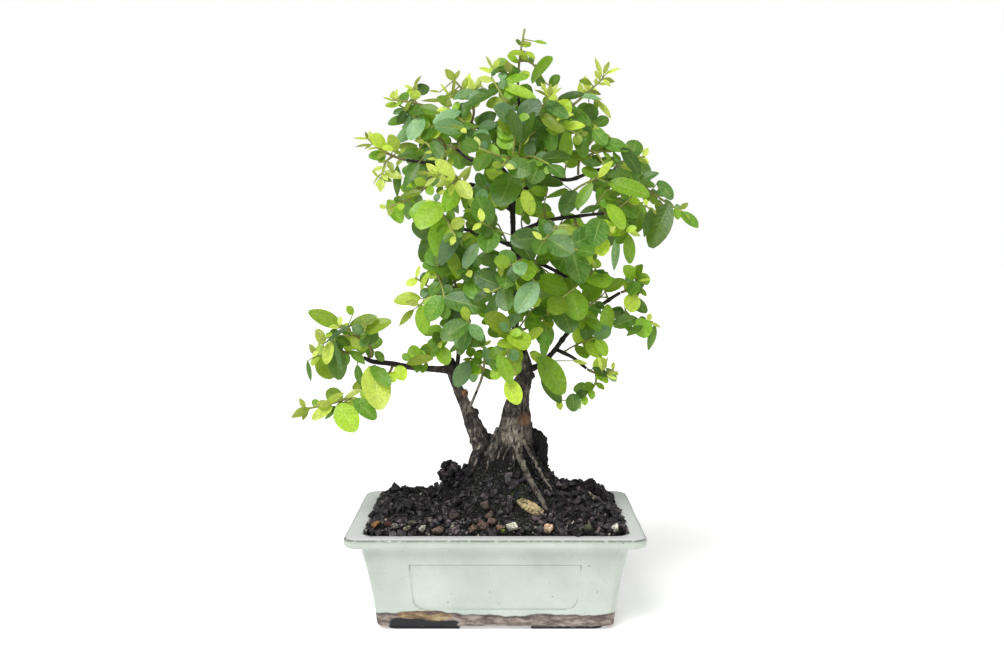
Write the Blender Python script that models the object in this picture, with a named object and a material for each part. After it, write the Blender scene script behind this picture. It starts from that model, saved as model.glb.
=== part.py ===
# Serissa bonsai: a glazed rectangular pot, a mound of potting mix, one woody plant and its leafy sprays.
# Tables are in millimetres and the scene in metres, +Z up. The origin is under the middle of the pot.

import math
import random

import bmesh
import bpy
from mathutils import Vector
from mathutils.bvhtree import BVHTree
from mathutils.geometry import intersect_point_line

MM = 0.001
CLEARANCE = 0.3

# Pot, measured at the rim.
POT_LENGTH, POT_DEPTH, POT_HEIGHT = 170.0, 122.0, 57.0
CORNER_RADIUS = 8.0
CORNER_STEPS = 3
RIM_FLAT = 10.0
FLOOR_TOP = 8.5
FOOT_HEIGHT = 2.4
PANEL_SINK = 0.8
DRAIN_RADIUS = 7.0
DRAIN_X = 36.0

# Inset from the rim's outer edge and height, up the outside and down the inside.
POT_OUTSIDE = [(16.7, FOOT_HEIGHT), (14.9, 17.0), (12.2, 33.0), (8.8, 48.2), (7.4, 50.4), (2.4, 51.2),
               (0.2, 52.4), (0.0, 55.6), (1.2, POT_HEIGHT)]
POT_INSIDE = [(RIM_FLAT, POT_HEIGHT), (12.6, 54.6), (14.8, 46.0), (18.6, 25.0), (23.0, FLOOR_TOP)]
# Half-width of the panel at its top and foot, their heights, and the radius of its lower corners.
PANEL = {"top": 48.5, "foot": 46.4, "z_top": 39.5, "z_foot": 12.5, "radius": 6.0}
# Half-sizes of the foot ring, outer then inner, and half the gap between feet on the long and short sides.
FEET = {"outer": (61.8, 42.6), "inner": (51.0, 31.0), "gap_long": 20.4, "gap_short": 12.0}

# Drain mesh: plate side, thickness, and the side of its four holes.
MESH_SIDE, MESH_THICK, MESH_HOLE = 22.0, 1.2, 7.2

# Soil: height over the rim near the wall, then mounds as x, y, height, spread along x and y.
SOIL_RINGS, SOIL_SIDES = 6, 30
SOIL_EDGE, SOIL_SHOULDER = 56.0, 6.5
MOUNDS = [(6.0, 1.0, 35.0, 30.0, 27.0), (50.0, 18.0, 9.5, 14.0, 17.0), (-46.0, 10.0, 3.0, 20.0, 20.0),
          (24.0, -30.0, 3.0, 16.0, 14.0)]
# Clods: x, y, height of the middle over the ground, radius.
CLODS = [(-27, -4, 2.5, 7.6), (-27.4, -6, 13.2, 8.4), (46, 16, 0.0, 6.4), (57, 14, 0.0, 5.6),
         (-52, -18, 0.5, 6.0), (-38, -33, 0.5, 5.0), (-60, 22, 0.5, 6.0), (62, -24, 0.5, 5.5),
         (44, -34, 0.5, 5.5), (-34, 28, 0.5, 6.5), (24, 34, 0.5, 6.0), (60, 31, 0.3, 5.0)]

# Bark strip: x, y of its middle and its turn in degrees.
FLAKE = (20.0, -34.0, -24.0)

# Wood: sides of the tube, then x, y, z, radius along it. The first is the main trunk.
WOOD = {
    "main": (10, [(8.5, 1, 62, 19), (9, 0.5, 76, 18.2), (9.8, 0, 86, 15.6), (10.6, 0, 96, 12.8),
                  (11.4, 0, 106, 10.8), (12.2, 0, 115, 9.2), (12.8, 0, 123, 7.5), (14.6, 0, 132, 6.1),
                  (17.4, 0, 141, 4.9), (17.8, 0, 147, 4.2), (15.4, 0, 156, 3.3), (12.1, 0, 168, 2.6),
                  (10.9, 0, 197, 1.9), (10.5, 0, 222, 1.8), (10.3, 0, 242, 1.6), (11.4, 0, 268, 1.4),
                  (14.3, 0, 292, 1.1), (13.4, 0, 304, 0.9)]),
    "main_stub": (5, [(16, 0, 138, 3.4), (20.5, -0.6, 140.2, 2.2), (23.4, -1, 141.2, 1.6)]),
    "left": (8, [(-1, 0.5, 72, 10.5), (-4, 0, 86, 8.6), (-7, 0, 96, 6.9), (-10.6, 0, 105, 5.8),
                 (-14, 0, 113, 4.9), (-18.6, 0, 124, 3.6), (-22.6, 0, 133, 3.2), (-25.4, 0, 141, 3.2),
                 (-27, 0, 147.4, 3.6), (-27.6, 0, 151.2, 2.4)]),
    "left_scar": (5, [(-19, 0, 129.5, 2.6), (-18.6, -2.4, 130.8, 2.4), (-18.3, -4.2, 131.4, 2.0)]),
    "left_knot": (5, [(-15, 0, 117, 3.2), (-10.6, -1.2, 119.6, 2.0)]),
    "left_crown": (5, [(-26.5, 0, 146, 3.0), (-30.4, -1.6, 152.6, 2.1), (-31.6, -2.0, 155.6, 1.5)]),
    "root_front": (5, [(9, -4, 109, 3.8), (11.6, -10.4, 102, 2.6), (15.0, -16.4, 92.4, 2.0),
                       (20.4, -22.0, 81.8, 1.9), (27.6, -28.4, 70.2, 1.7), (31, -31, 62, 1.4)]),
    "root_right_front": (5, [(13, -2, 111, 4.2), (19.6, -8.4, 98, 3.6), (25.0, -13, 86, 2.8),
                             (30.4, -16.6, 76.6, 2.1), (36, -20, 66, 1.5)]),
    "root_middle": (5, [(8, -5, 107, 4.0), (9.6, -12.2, 97.6, 3.2), (9.4, -16.4, 89, 2.2),
                        (8.4, -19.4, 80, 1.6)]),
    "root_left_front": (5, [(3.5, -4, 109, 4.0), (-0.6, -9.4, 98.6, 3.8), (-3.4, -13.2, 89, 3.2),
                            (-6.0, -17, 79, 2.2)]),
    "root_left": (5, [(-7, -1, 100, 5.2), (-11.6, -4.6, 90, 4.4), (-16, -8.6, 79, 3.2),
                      (-21, -13, 69, 1.9)]),
    "root_right": (6, [(14, 3, 106, 4.4), (21.4, 5.4, 103, 5.0), (25.8, 6.4, 100, 5.0), (26.2, 6.8, 91, 4.8),
                       (28.6, 9, 81, 4.2), (34, 13, 69, 2.8)]),
    "root_back": (5, [(9, 5, 107, 4.4), (10, 14.6, 95, 4.4), (8.4, 20.4, 82, 3.6), (4, 27, 69, 2.1)]),
    "root_left_back": (5, [(-3, 3, 103, 4.0), (-8.6, 10.2, 90, 4.0), (-13, 16, 79, 3.0),
                           (-20, 22, 68, 1.9)]),
    "low_left": (5, [(-25.5, 0, 144, 2.6), (-37, -3, 145.1, 2.0), (-51, -8, 146.9, 1.8),
                     (-62, -12, 149.5, 1.6), (-72, -15, 151, 1.5), (-77, -16.4, 153.6, 1.2)]),
    "left_up": (4, [(-24.4, 0, 138, 1.8), (-22, -3, 156, 1.3), (-24, -6, 172, 1.1)]),
    "left_hang": (4, [(-16, -1, 121.5, 1.2), (-13.4, -6.6, 127, 0.9), (-9, -10.6, 138, 0.8)]),
    "low_right": (5, [(17, 0, 144, 2.4), (25, 0, 146.5, 1.9), (33.6, -2, 154.3, 1.7),
                      (40.7, -4, 164.2, 1.6), (47.7, -5, 172.2, 1.5), (57.9, -6, 180.2, 1.3),
                      (68, -6, 187.3, 1.2), (73.4, -6, 190.7, 1.0)]),
    "low_right_under": (4, [(35.5, -2.5, 157, 1.4), (46, -5, 152, 1.1), (54, -6, 145.6, 0.9)]),
    "left_middle": (4, [(10.8, 0, 191, 1.5), (-8.3, -6, 192, 1.2), (-20.2, -10, 191.8, 1.1),
                        (-30, -14, 197, 0.9)]),
    "left_front": (4, [(10.6, 0, 218, 1.5), (-5, -14, 224, 1.2), (-20, -24, 228.6, 1.0)]),
    "left_upper": (4, [(10.4, 0, 238, 1.5), (-6, -1, 252, 1.3), (-20, -5, 255, 1.2),
                       (-35, -4, 265, 1.1), (-52, -7, 268, 0.9)]),
    "left_top": (4, [(11.4, 0, 270, 1.4), (-4, -2, 283, 1.1), (-22, -4, 293, 1.0), (-38, -5, 298.4, 0.8)]),
    "front_top": (4, [(10.6, 0, 248, 1.4), (9.6, -18, 262, 1.1), (9, -34, 266, 0.9)]),
    "right_top": (4, [(11.6, 0, 271, 1.4), (27, 1, 286, 1.1), (44, 2, 299.4, 0.9)]),
    "right_upper": (4, [(10.5, 0, 246, 1.6), (28, 3, 258, 1.3), (44, 1, 257, 1.2), (63, 4, 263, 1.1),
                        (82, 2, 256, 0.9)]),
    "right_middle": (4, [(10.6, 0, 225, 1.5), (30.1, -8, 232.8, 1.3), (48.9, -15, 235.6, 1.1),
                         (62, -20, 237, 0.9)]),
    "right_bent": (4, [(10.6, 0, 214, 1.4), (29.4, -6, 206.4, 1.2), (42.6, -12, 199.6, 1.0)]),
    "front_middle": (4, [(10.8, 0, 206, 1.4), (19, -18, 216, 1.2), (20, -32, 213, 1.0),
                         (24, -42, 217, 0.9)]),
    "front_low": (4, [(13.4, 0, 163, 1.6), (11.6, -20, 168, 1.1), (10.6, -36, 171, 0.9)]),
    "back_low": (4, [(12, 0, 172, 1.6), (18, 17, 183, 1.3), (15, 32, 184, 1.1), (20, 47, 189, 0.9)]),
    "back_left": (4, [(11, 0, 200, 1.5), (-3, 14, 211, 1.3), (-15, 31, 211, 1.1), (-28, 41, 217, 0.9)]),
    "back_right": (4, [(10.6, 0, 210, 1.5), (24, 17, 222, 1.3), (41, 25, 222, 1.1), (54, 37, 227, 0.9)]),
    "back_middle": (4, [(10.4, 0, 232, 1.5), (8, 17, 245, 1.3), (1, 34, 243, 1.1), (3, 50, 249, 0.9)]),
    "back_upper": (4, [(10.8, 0, 256, 1.4), (-3, 12, 270, 1.2), (-15, 28, 270, 1.0), (-24, 36, 277, 0.9)]),
    "back_top": (4, [(11.2, 0, 264, 1.4), (20, 14, 281, 1.1), (33, 35, 286, 0.9)]),
}
IN_SOIL = ["main", "left", "root_front", "root_right_front", "root_middle", "root_left_front", "root_left",
           "root_right", "root_back", "root_left_back"]

# Leafy sprays: the branch, how far along it, leaf length, its tone, then each shoot's tip, pairs of
# leaves and leaf scale. The first shoot grows from the branch and the others fork from it.
SPRAYS = {
    "low_left_up": ("low_left", 0.94, 22, "bright", [((-90, -27, 173), 0, 1.0),
                                                     ((-74, -30, 171), 0, 1.0),
                                                     ((-98, -29, 166), 0, 1.0)]),
    "low_left_tip": ("low_left", 1.0, 17, "mixed", [((-104, -24, 155), 0, 1.0), ((-92, -8, 160), 1, 1.0)]),
    "low_left_down": ("low_left", 0.86, 17, "yellow", [((-110, -30, 125), 0, 1.0),
                                                       ((-93, -28, 122), 0, 1.0)]),
    "low_left_under": ("low_left", 0.68, 19, "yellow", [((-72, -24, 143), 0, 1.0)]),
    "low_left_inner": ("low_left", 0.3, 14, "yellow", [((-50, -12, 151), 0, 1.0),
                                                       ((-46, 6, 154), 1, 1.0)]),
    "left_crown": ("left_crown", 1.0, 15, "bright", [((-33, -9, 162), 0, 1.0), ((-32, 8, 166), 1, 1.0)]),
    "left_shoot": ("left_up", 1.0, 17, "yellow", [((-47, -12, 200), 0, 1.0), ((-28, 6, 190), 1, 1.0),
                                                  ((-44, -16, 184), 0, 1.0)]),
    "left_rosette": ("left_up", 0.72, 19, "deep", [((-15, -42, 178), 1, 0.9), ((-30, -28, 187), 0, 1.0)]),
    "left_hang": ("left_hang", 1.0, 18, "blue", [((-7, -16, 160), 0, 1.0), ((-15, -13, 153), 0, 1.0)]),
    "left_middle_tip": ("left_middle", 1.0, 16, "mixed", [((-32, -22, 212), 1, 1.0),
                                                          ((-28, -30, 186), 1, 1.0)]),
    "left_middle_front": ("left_middle", 0.6, 19, "mixed", [((-16, -34, 206), 1, 1.0),
                                                            ((-20, -22, 222), 0, 1.0)]),
    "left_middle_back": ("left_middle", 0.8, 17, "mixed", [((-28, 10, 204), 2, 1.0)]),
    "left_front_tip": ("left_front", 1.0, 23, "bright", [((-34, -28, 243), 1, 0.8),
                                                         ((-22, -42, 224), 0, 0.9)]),
    "left_front_inner": ("left_front", 0.5, 20, "mixed", [((-8, -44, 232), 1, 0.9),
                                                          ((-14, -20, 240), 0, 1.0)]),
    "left_upper_tip": ("left_upper", 1.0, 13, "young", [((-72, -7, 278), 0, 1.0),
                                                        ((-66, -11, 257), 1, 0.9),
                                                        ((-58, 4, 276), 1, 1.0)]),
    "left_upper_hang": ("left_upper", 0.76, 17, "mixed", [((-62, -18, 240), 0, 1.0),
                                                          ((-50, 2, 250), 1, 1.0)]),
    "left_upper_rise": ("left_upper", 0.7, 16, "blue", [((-56, -2, 300), 0, 1.0),
                                                        ((-50, 10, 290), 1, 1.0)]),
    "left_upper_front": ("left_upper", 0.5, 15, "young", [((-32, -46, 258), 2, 1.0),
                                                          ((-40, -18, 278), 0, 1.0),
                                                          ((-27, -22, 250), 0, 1.0)]),
    "left_upper_back": ("left_upper", 0.62, 18, "mixed", [((-58, 24, 272), 2, 1.0)]),
    "left_top_tip": ("left_top", 1.0, 13, "yellow", [((-60, -5, 303), 0, 1.0), ((-48, 0, 310), 0, 0.9),
                                                     ((-44, -12, 290), 0, 1.0)]),
    "left_top_rise": ("left_top", 0.56, 12, "young", [((-24, -6, 314), 1, 1.0),
                                                      ((-10, -12, 310), 0, 1.0)]),
    "left_top_front": ("left_top", 0.42, 18, "blue", [((-20, -38, 284), 1, 1.0),
                                                      ((-27, -16, 297), 0, 1.0)]),
    "front_top_tip": ("front_top", 1.0, 20, "mixed", [((4, -58, 262), 1, 0.8), ((-9, -50, 272), 1, 0.8)]),
    "front_top_side": ("front_top", 0.55, 18, "deep", [((14, -22, 276), 0, 1.0),
                                                       ((30, -36, 264), 1, 1.0)]),
    "crown_tip": ("main", 1.0, 13, "bright", [((17, 0, 344), 0, 1.0), ((4, -5, 319), 0, 1.0),
                                              ((29, 4, 314), 0, 1.0)]),
    "crown_front": ("main", 0.93, 18, "blue", [((12, -36, 290), 1, 1.0), ((-2, -15, 314), 0, 1.0),
                                               ((36, -10, 302), 0, 1.0)]),
    "crown_back": ("main", 0.95, 18, "mixed", [((8, 28, 308), 2, 1.0)]),
    "right_top_tip": ("right_top", 1.0, 12, "young", [((63, 2, 316), 0, 1.0), ((60, 12, 304), 1, 1.2)]),
    "right_top_front": ("right_top", 0.6, 16, "yellow", [((38, -26, 292), 1, 0.8),
                                                         ((50, -12, 281), 0, 1.0)]),
    "right_top_back": ("right_top", 0.7, 18, "deep", [((56, 32, 297), 2, 1.0)]),
    "right_upper_tip": ("right_upper", 1.0, 19, "deep", [((98, -2, 241), 0, 1.0),
                                                         ((110, -2, 238), 0, 1.0)]),
    "right_upper_rise": ("right_upper", 0.82, 17, "deep", [((89, 10, 271), 1, 1.0)]),
    "right_upper_middle": ("right_upper", 0.55, 18, "mixed", [((61, -6, 284), 1, 0.9),
                                                              ((75, -9, 273), 0, 1.0),
                                                              ((64, -15, 262), 0, 1.0)]),
    "right_upper_back": ("right_upper", 0.74, 19, "mixed", [((82, 34, 256), 2, 1.0)]),
    "right_middle_tip": ("right_middle", 1.0, 22, "bright", [((78, -24, 247), 0, 1.0),
                                                             ((76, -20, 226), 0, 1.0),
                                                             ((88, -11, 241), 0, 1.0)]),
    "right_middle_front": ("right_middle", 0.7, 17, "yellow", [((64, -40, 226), 1, 1.0)]),
    "right_middle_rise": ("right_middle", 0.56, 16, "bright", [((57, -20, 257), 0, 1.0),
                                                               ((44, 8, 250), 1, 1.0)]),
    "front_middle_tip": ("front_middle", 1.0, 22, "deep", [((34, -44, 230), 0, 1.0),
                                                           ((46, -48, 216), 1, 0.9),
                                                           ((26, -60, 222), 1, 0.8)]),
    "front_middle_side": ("front_middle", 0.5, 19, "deep", [((19, -46, 203), 0, 1.0),
                                                            ((2, -46, 210), 1, 0.9),
                                                            ((-2, -42, 193), 1, 0.9)]),
    "right_bent_tip": ("right_bent", 1.0, 21, "bright", [((58, -20, 205), 1, 0.9),
                                                         ((38, -36, 190), 1, 0.9)]),
    "low_right_tip": ("low_right", 1.0, 13, "bright", [((84, -8, 189), 0, 1.0), ((84, -4, 202), 1, 0.8)]),
    "low_right_side": ("low_right", 0.78, 13, "deep", [((92, -9, 174), 0, 1.0), ((78, 6, 178), 1, 1.0)]),
    "low_right_middle": ("low_right", 0.6, 17, "bright", [((62, -13, 189), 0, 1.0),
                                                          ((52, -18, 176), 1, 0.8)]),
    "low_right_inner": ("low_right", 0.2, 23, "bright", [((28, -22, 152), 0, 1.0)]),
    "low_right_under": ("low_right_under", 1.0, 16, "deep", [((70, -8, 145), 0, 1.0),
                                                             ((48, -12, 128), 0, 1.0)]),
    "front_low_tip": ("front_low", 1.0, 18, "yellow", [((8, -50, 172), 1, 0.9), ((6, -44, 150), 0, 0.9)]),
    "front_low_side": ("front_low", 0.55, 18, "deep", [((30, -32, 180), 1, 1.0)]),
    "back_low_tip": ("back_low", 1.0, 19, "deep", [((24, 66, 192), 2, 1.0), ((40, 52, 190), 1, 1.0)]),
    "back_left_tip": ("back_left", 1.0, 19, "mixed", [((-46, 52, 222), 2, 1.0), ((-24, 61, 216), 1, 1.0)]),
    "back_right_tip": ("back_right", 1.0, 20, "deep", [((74, 44, 230), 2, 1.0), ((56, 58, 222), 1, 1.0)]),
    "back_middle_tip": ("back_middle", 1.0, 20, "mixed", [((0, 66, 252), 2, 1.0),
                                                          ((22, 62, 256), 1, 1.0)]),
    "back_upper_tip": ("back_upper", 1.0, 18, "mixed", [((-44, 44, 282), 2, 1.0),
                                                        ((-22, 54, 282), 1, 1.0)]),
    "back_top_tip": ("back_top", 1.0, 17, "bright", [((46, 48, 294), 2, 1.0), ((26, 54, 290), 1, 1.0)]),
}

# Leaves that show from the front: foot, point and width. Each hangs by a stalk from the nearest twig.
SHOWN_LEAVES = [
    # Top.
    ((15, 0, 320), (1, -6, 321), 6),
    ((21, 2, 314), (30, -6, 326), 13),
    ((19, -4, 317), (6, -12, 313), 8),
    ((4, -14, 310), (23, -20, 303), 8),
    ((2, -16, 308), (-18, -24, 297), 7),
    ((-13, -12, 308), (-24, -18, 302), 6),
    ((36, -8, 303), (50, -14, 306), 7),
    ((28, -14, 301), (40, -22, 291), 8),
    ((32, -8, 302), (45, -14, 295), 7),
    ((55, 6, 302), (57, 2, 292), 10),
    ((45, 0, 299), (55, -6, 289), 7),
    ((26, -22, 293), (38, -30, 283), 9),
    ((38, -20, 286), (50, -26, 287), 7),
    ((8, -14, 290), (-4, -22, 281), 11),
    ((14, -20, 276), (9, -28, 293), 9),
    ((15, -24, 276), (20, -32, 293), 7),
    ((6, -18, 269), (3, -22, 277), 7),
    ((32, -16, 285), (32, -20, 272), 8),
    # Right side.
    ((41, -14, 284), (40, -18, 266), 8),
    ((47, -10, 283), (52, -14, 269), 9),
    ((57, -8, 285), (64, -12, 277), 9),
    ((60, -6, 279), (77, -12, 275), 10),
    ((73, -10, 275), (84, -16, 260), 9),
    ((61, -14, 265), (50, -18, 267), 6),
    ((61, -8, 269), (74, -12, 266), 6),
    ((59, -16, 258), (50, -20, 263), 8),
    ((63, -12, 259), (79, -14, 261), 7),
    ((64, -29, 254), (86, -36, 249), 13),
    ((84, -6, 257), (95, -8, 261), 6),
    ((95, -4, 256), (104, -6, 246), 8),
    ((69, -8, 246), (80, -12, 231), 15),
    ((86, 2, 243), (82, -2, 226), 11),
    ((101, -8, 243), (90, -16, 218), 14),
    ((90, -16, 240), (86, -20, 224), 6),
    ((64, -26, 242), (73, -32, 229), 10),
    ((76, -22, 225), (77, -26, 209), 7),
    ((71, -9, 224), (69, -11, 204), 5),
    ((108.6, -2, 238), (119.4, -6, 230), 7),
    ((55, -22, 254), (46, -28, 241), 7),
    ((39, -16, 254), (26, -20, 256), 8),
    ((46, -12, 250), (38, -18, 237), 11),
    ((60, -16, 241), (48, -20, 238), 5),
    ((59, -25, 234), (54, -32, 220), 14),
    ((39, -30, 231), (47, -34, 222), 5),
    ((48, -30, 222), (54, -36, 209), 7),
    ((32, -22, 225), (44, -34, 203), 17),
    ((34, -38, 230), (22, -44, 218), 11),
    ((51, -16, 209), (55, -18, 200), 7),
    ((51, -16, 187), (62, -24, 201), 12),
    ((64, -12, 192), (75, -14, 199), 8),
    ((78, -8, 190), (84, -10, 197), 8),
    # Left side.
    ((-64, -6, 276), (-72, -10, 282), 9),
    ((-57, -6, 274), (-61, -10, 282), 7),
    ((-64, -6, 270), (-73, -10, 271), 8),
    ((-49, -2, 293), (-62, -8, 290), 8),
    ((-42, -12, 292), (-49, -20, 280), 10),
    ((-44, -10, 298), (-32, -14, 295), 8),
    ((-25, -12, 299), (-33, -16, 303), 8),
    ((-20, -16, 295), (-35, -22, 289), 8),
    ((-36, -20, 278), (-30, -24, 268), 7),
    ((-57, -8, 265), (-57, -12, 247), 5),
    ((-44, -14, 266), (-53, -20, 252), 6),
    ((-55, -18, 246), (-42, -22, 250), 6),
    ((-62, -12, 245), (-54, -16, 232), 9),
    ((-49, -14, 242), (-42, -16, 225), 4),
    ((-31, -26, 243), (-43, -34, 230), 15),
    ((-29, -24, 236), (-34, -30, 214), 14),
    ((-28, -20, 249), (-21, -22, 237), 6),
    ((-17, -22, 255), (-18, -24, 241), 5),
    ((-18, -34, 233), (-32, -38, 209), 10),
    ((-17, -20, 232), (-4, -26, 224), 11),
    ((-14, -14, 237), (-10, -18, 249), 9),
    ((5, -20, 222), (-2, -24, 224), 8),
    ((10, -38, 259), (2, -46, 241), 18),
    ((16, -30, 250), (21, -34, 236), 8),
    ((12, -24, 224), (20, -30, 212), 13),
    ((1, -30, 213), (9, -36, 198), 7),
    ((-10, -30, 220), (-18, -36, 207), 8),
    ((-25, -20, 220), (-17, -24, 209), 8),
    ((-26, -30, 216), (-20, -34, 201), 8),
    ((-44, -10, 193), (-39, -12, 203), 6),
    ((-44, -10, 188), (-59, -14, 187), 10),
    ((-48, -8, 181), (-57, -10, 172), 5),
    ((-43, -18, 184), (-41, -22, 168), 9),
    ((-42, -16, 185), (-29, -20, 188), 8),
    # Front, low down.
    ((-29, -30, 189), (-5, -38, 184), 14),
    ((-15, -40, 176), (-30, -46, 168), 13),
    ((-14, -42, 175), (-7, -46, 167), 8),
    ((-15, -38, 174), (-19, -40, 160), 8),
    ((1, -34, 192), (-4, -38, 177), 7),
    ((23, -46, 199), (12, -54, 183), 12),
    ((14, -40, 181), (3, -44, 172), 7),
    ((18, -44, 165), (2, -52, 166), 8),
    ((18, -42, 167), (26, -46, 173), 7),
    ((29, -32, 171), (27, -36, 155), 6),
    ((26, -24, 155), (39, -30, 134), 14),
    ((36, -28, 188), (43, -36, 170), 15),
    ((60, -10, 180), (50, -12, 169), 6),
    ((66, -8, 184), (65, -12, 167), 9),
    ((82, -10, 176), (69, -14, 172), 10),
    ((78, -6, 188), (89, -10, 180), 8),
    ((84, -8, 176), (88, -12, 165), 12),
    ((94, -8, 172), (90, -10, 157), 5),
    ((27, -14, 141), (39, -18, 128), 9),
    ((45, -14, 132), (46, -18, 122), 9),
    ((2, -46, 159), (9, -50, 143), 8),
    ((7, -44, 144), (13, -48, 131), 10),
    ((-7, -20, 161), (-1, -22, 147), 5),
    ((-16, -16, 151), (-23, -20, 137), 10),
    ((-14, -9, 150), (-13, -10, 138), 7),
    # Low branch on the left.
    ((-88, -24, 172), (-106, -28, 182), 10),
    ((-84, -22, 173), (-68, -26, 178), 8),
    ((-77, -24, 169), (-60, -30, 176), 10),
    ((-94, -28, 164), (-97, -32, 152), 7),
    ((-92, -26, 160), (-89, -32, 142), 11),
    ((-102, -18, 155), (-95, -22, 142), 12),
    ((-84, -22, 158), (-75, -24, 151), 6),
    ((-72, -20, 149), (-65, -28, 127), 17),
    ((-72, -33, 149), (-60, -37, 140), 8),
    ((-58, -10, 148), (-53, -14, 141), 8),
    ((-52, -8, 150), (-38, -12, 155), 8),
    ((-33, -8, 159), (-28, -12, 149), 9),
    ((-99, -28, 127), (-87, -30, 135), 5),
    ((-90, -30, 128), (-80, -36, 114), 14),
    ((-81, -30, 131), (-68, -34, 121), 10),
    ((-94, -28, 127), (-104, -32, 121), 7),
    ((-106, -30, 126), (-116, -32, 122), 6),
]
STALK_RADIUS, STALK_SUNK = 0.6, 0.9
# Clear space round a new leaf, and how far from its foot it may touch its own twig. A shown leaf that
# would cross another piece steps back or forward by these steps, and leans its point as well.
GAP, FOOT_FREE = 0.32, 1.9
STEPS = (0, -2, 2, -4, 4, -6, 6, -9, 9, -12, 12)
LEANS = (0, -4, 4, -8, 8)

# Blade outlines as share of the length and of the width, and the blade's own sizes.
BLADE_LARGE = [(0.18, 0.37), (0.5, 0.5), (0.83, 0.35)]
BLADE_SMALL = [(0.26, 0.46), (0.71, 0.44)]
BLADE_SLIM = [(0.5, 0.5)]
LARGE_FROM, SLIM_BELOW = 22.5, 7.0
BLADE_THICK = 0.6
BLADE_WIDTH = {"deep": 0.72, "blue": 0.7, "mixed": 0.74, "bright": 0.78, "yellow": 0.78, "young": 0.5}
END_LEAF = ("young",)
FOLD, DROOP = 0.16, 0.1
TWIG_SIDES, TWIG_BASE, TWIG_TIP = 3, 1.0, 0.75

COLOURS = {
    "glaze": ((0.640, 0.760, 0.690), 0.18, 0.0),
    "mesh_plastic": ((0.030, 0.032, 0.035), 0.5, 0.0),
    "potting_mix": ((0.022, 0.015, 0.017), 0.9, 0.0),
    "bark": ((0.110, 0.080, 0.064), 0.8, 0.0),
    "bark_chip": ((0.330, 0.215, 0.125), 0.8, 0.0),
    "leaf_deep": ((0.040, 0.130, 0.034), 0.42, 0.0),
    "leaf_blue": ((0.130, 0.260, 0.190), 0.48, 0.0),
    "leaf_mixed": ((0.085, 0.235, 0.042), 0.42, 0.0),
    "leaf_bright": ((0.190, 0.400, 0.050), 0.42, 0.0),
    "leaf_yellow": ((0.360, 0.560, 0.065), 0.45, 0.0),
    "leaf_young": ((0.420, 0.580, 0.120), 0.5, 0.0),
}


# Scene and mesh helpers

for old in list(bpy.data.objects):
    bpy.data.objects.remove(old, do_unlink=True)


def material(name):
    colour, roughness, metallic = COLOURS[name]
    made = bpy.data.materials.get(name) or bpy.data.materials.new(name)
    made.use_nodes = True
    shader = made.node_tree.nodes["Principled BSDF"]
    shader.inputs["Base Color"].default_value = (*colour, 1.0)
    shader.inputs["Roughness"].default_value = roughness
    shader.inputs["Metallic"].default_value = metallic
    made.diffuse_color = (*colour, 1.0)
    return made


def add_object(name, points, faces, slot=None, helper=False):
    mesh = bpy.data.meshes.new(name)
    mesh.from_pydata([tuple(c * MM for c in p) for p in points], [], faces)
    if slot:
        mesh.materials.append(material(slot))
    made = bpy.data.objects.new(name, mesh)
    bpy.context.scene.collection.objects.link(made)
    if helper:
        made.hide_render = True
        made.display_type = "WIRE"
    return made


def combine(target, others, operation, solver="EXACT"):
    # One Boolean with all the other objects, applied, and the others removed.
    if not others:
        return
    group = bpy.data.collections.new("operands")
    for other in others:
        group.objects.link(other)
    step = target.modifiers.new("combine", "BOOLEAN")
    step.operation, step.solver = operation, solver
    step.operand_type, step.collection = "COLLECTION", group
    graph = bpy.context.evaluated_depsgraph_get()
    result = bpy.data.meshes.new_from_object(target.evaluated_get(graph))
    target.modifiers.remove(step)
    old, target.data = target.data, result
    bpy.data.meshes.remove(old)
    for other in others:
        bpy.data.objects.remove(other, do_unlink=True)
    bpy.data.collections.remove(group)


def keep_largest(target):
    # Drops the loose scraps that a cut leaves.
    work = bmesh.new()
    work.from_mesh(target.data)
    left, islands = set(work.verts), []
    while left:
        island, edge = set(), [left.pop()]
        while edge:
            vert = edge.pop()
            island.add(vert)
            for link in vert.link_edges:
                other = link.other_vert(vert)
                if other in left:
                    left.remove(other)
                    edge.append(other)
        islands.append(island)
    islands.sort(key=len)
    for island in islands[:-1]:
        bmesh.ops.delete(work, geom=list(island), context="VERTS")
    work.to_mesh(target.data)
    work.free()


def loft(rings):
    # Closed solid through rings of equal count, the first and last capped.
    count = len(rings[0])
    points = [p for ring in rings for p in ring]
    faces = [tuple(reversed(range(count)))]
    for level in range(len(rings) - 1):
        low, high = level * count, (level + 1) * count
        for k in range(count):
            after = (k + 1) % count
            faces.append((low + k, low + after, high + after))
            faces.append((low + k, high + after, high + k))
    top = (len(rings) - 1) * count
    faces.append(tuple(top + k for k in range(count)))
    return points, faces


def rounded_ring(half_x, half_y, radius, z, steps=CORNER_STEPS):
    ring = []
    for corner, (sx, sy) in enumerate([(1, 1), (-1, 1), (-1, -1), (1, -1)]):
        for k in range(steps + 1):
            angle = math.radians(90 * corner + 90 * k / steps)
            ring.append((sx * (half_x - radius) + radius * math.cos(angle),
                         sy * (half_y - radius) + radius * math.sin(angle), z))
    return ring


def box(half, centre):
    ring = [(1, 1), (-1, 1), (-1, -1), (1, -1)]
    return loft([[(centre[0] + sx * half[0], centre[1] + sy * half[1], centre[2] + sz * half[2])
                  for sx, sy in ring] for sz in (-1, 1)])


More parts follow.
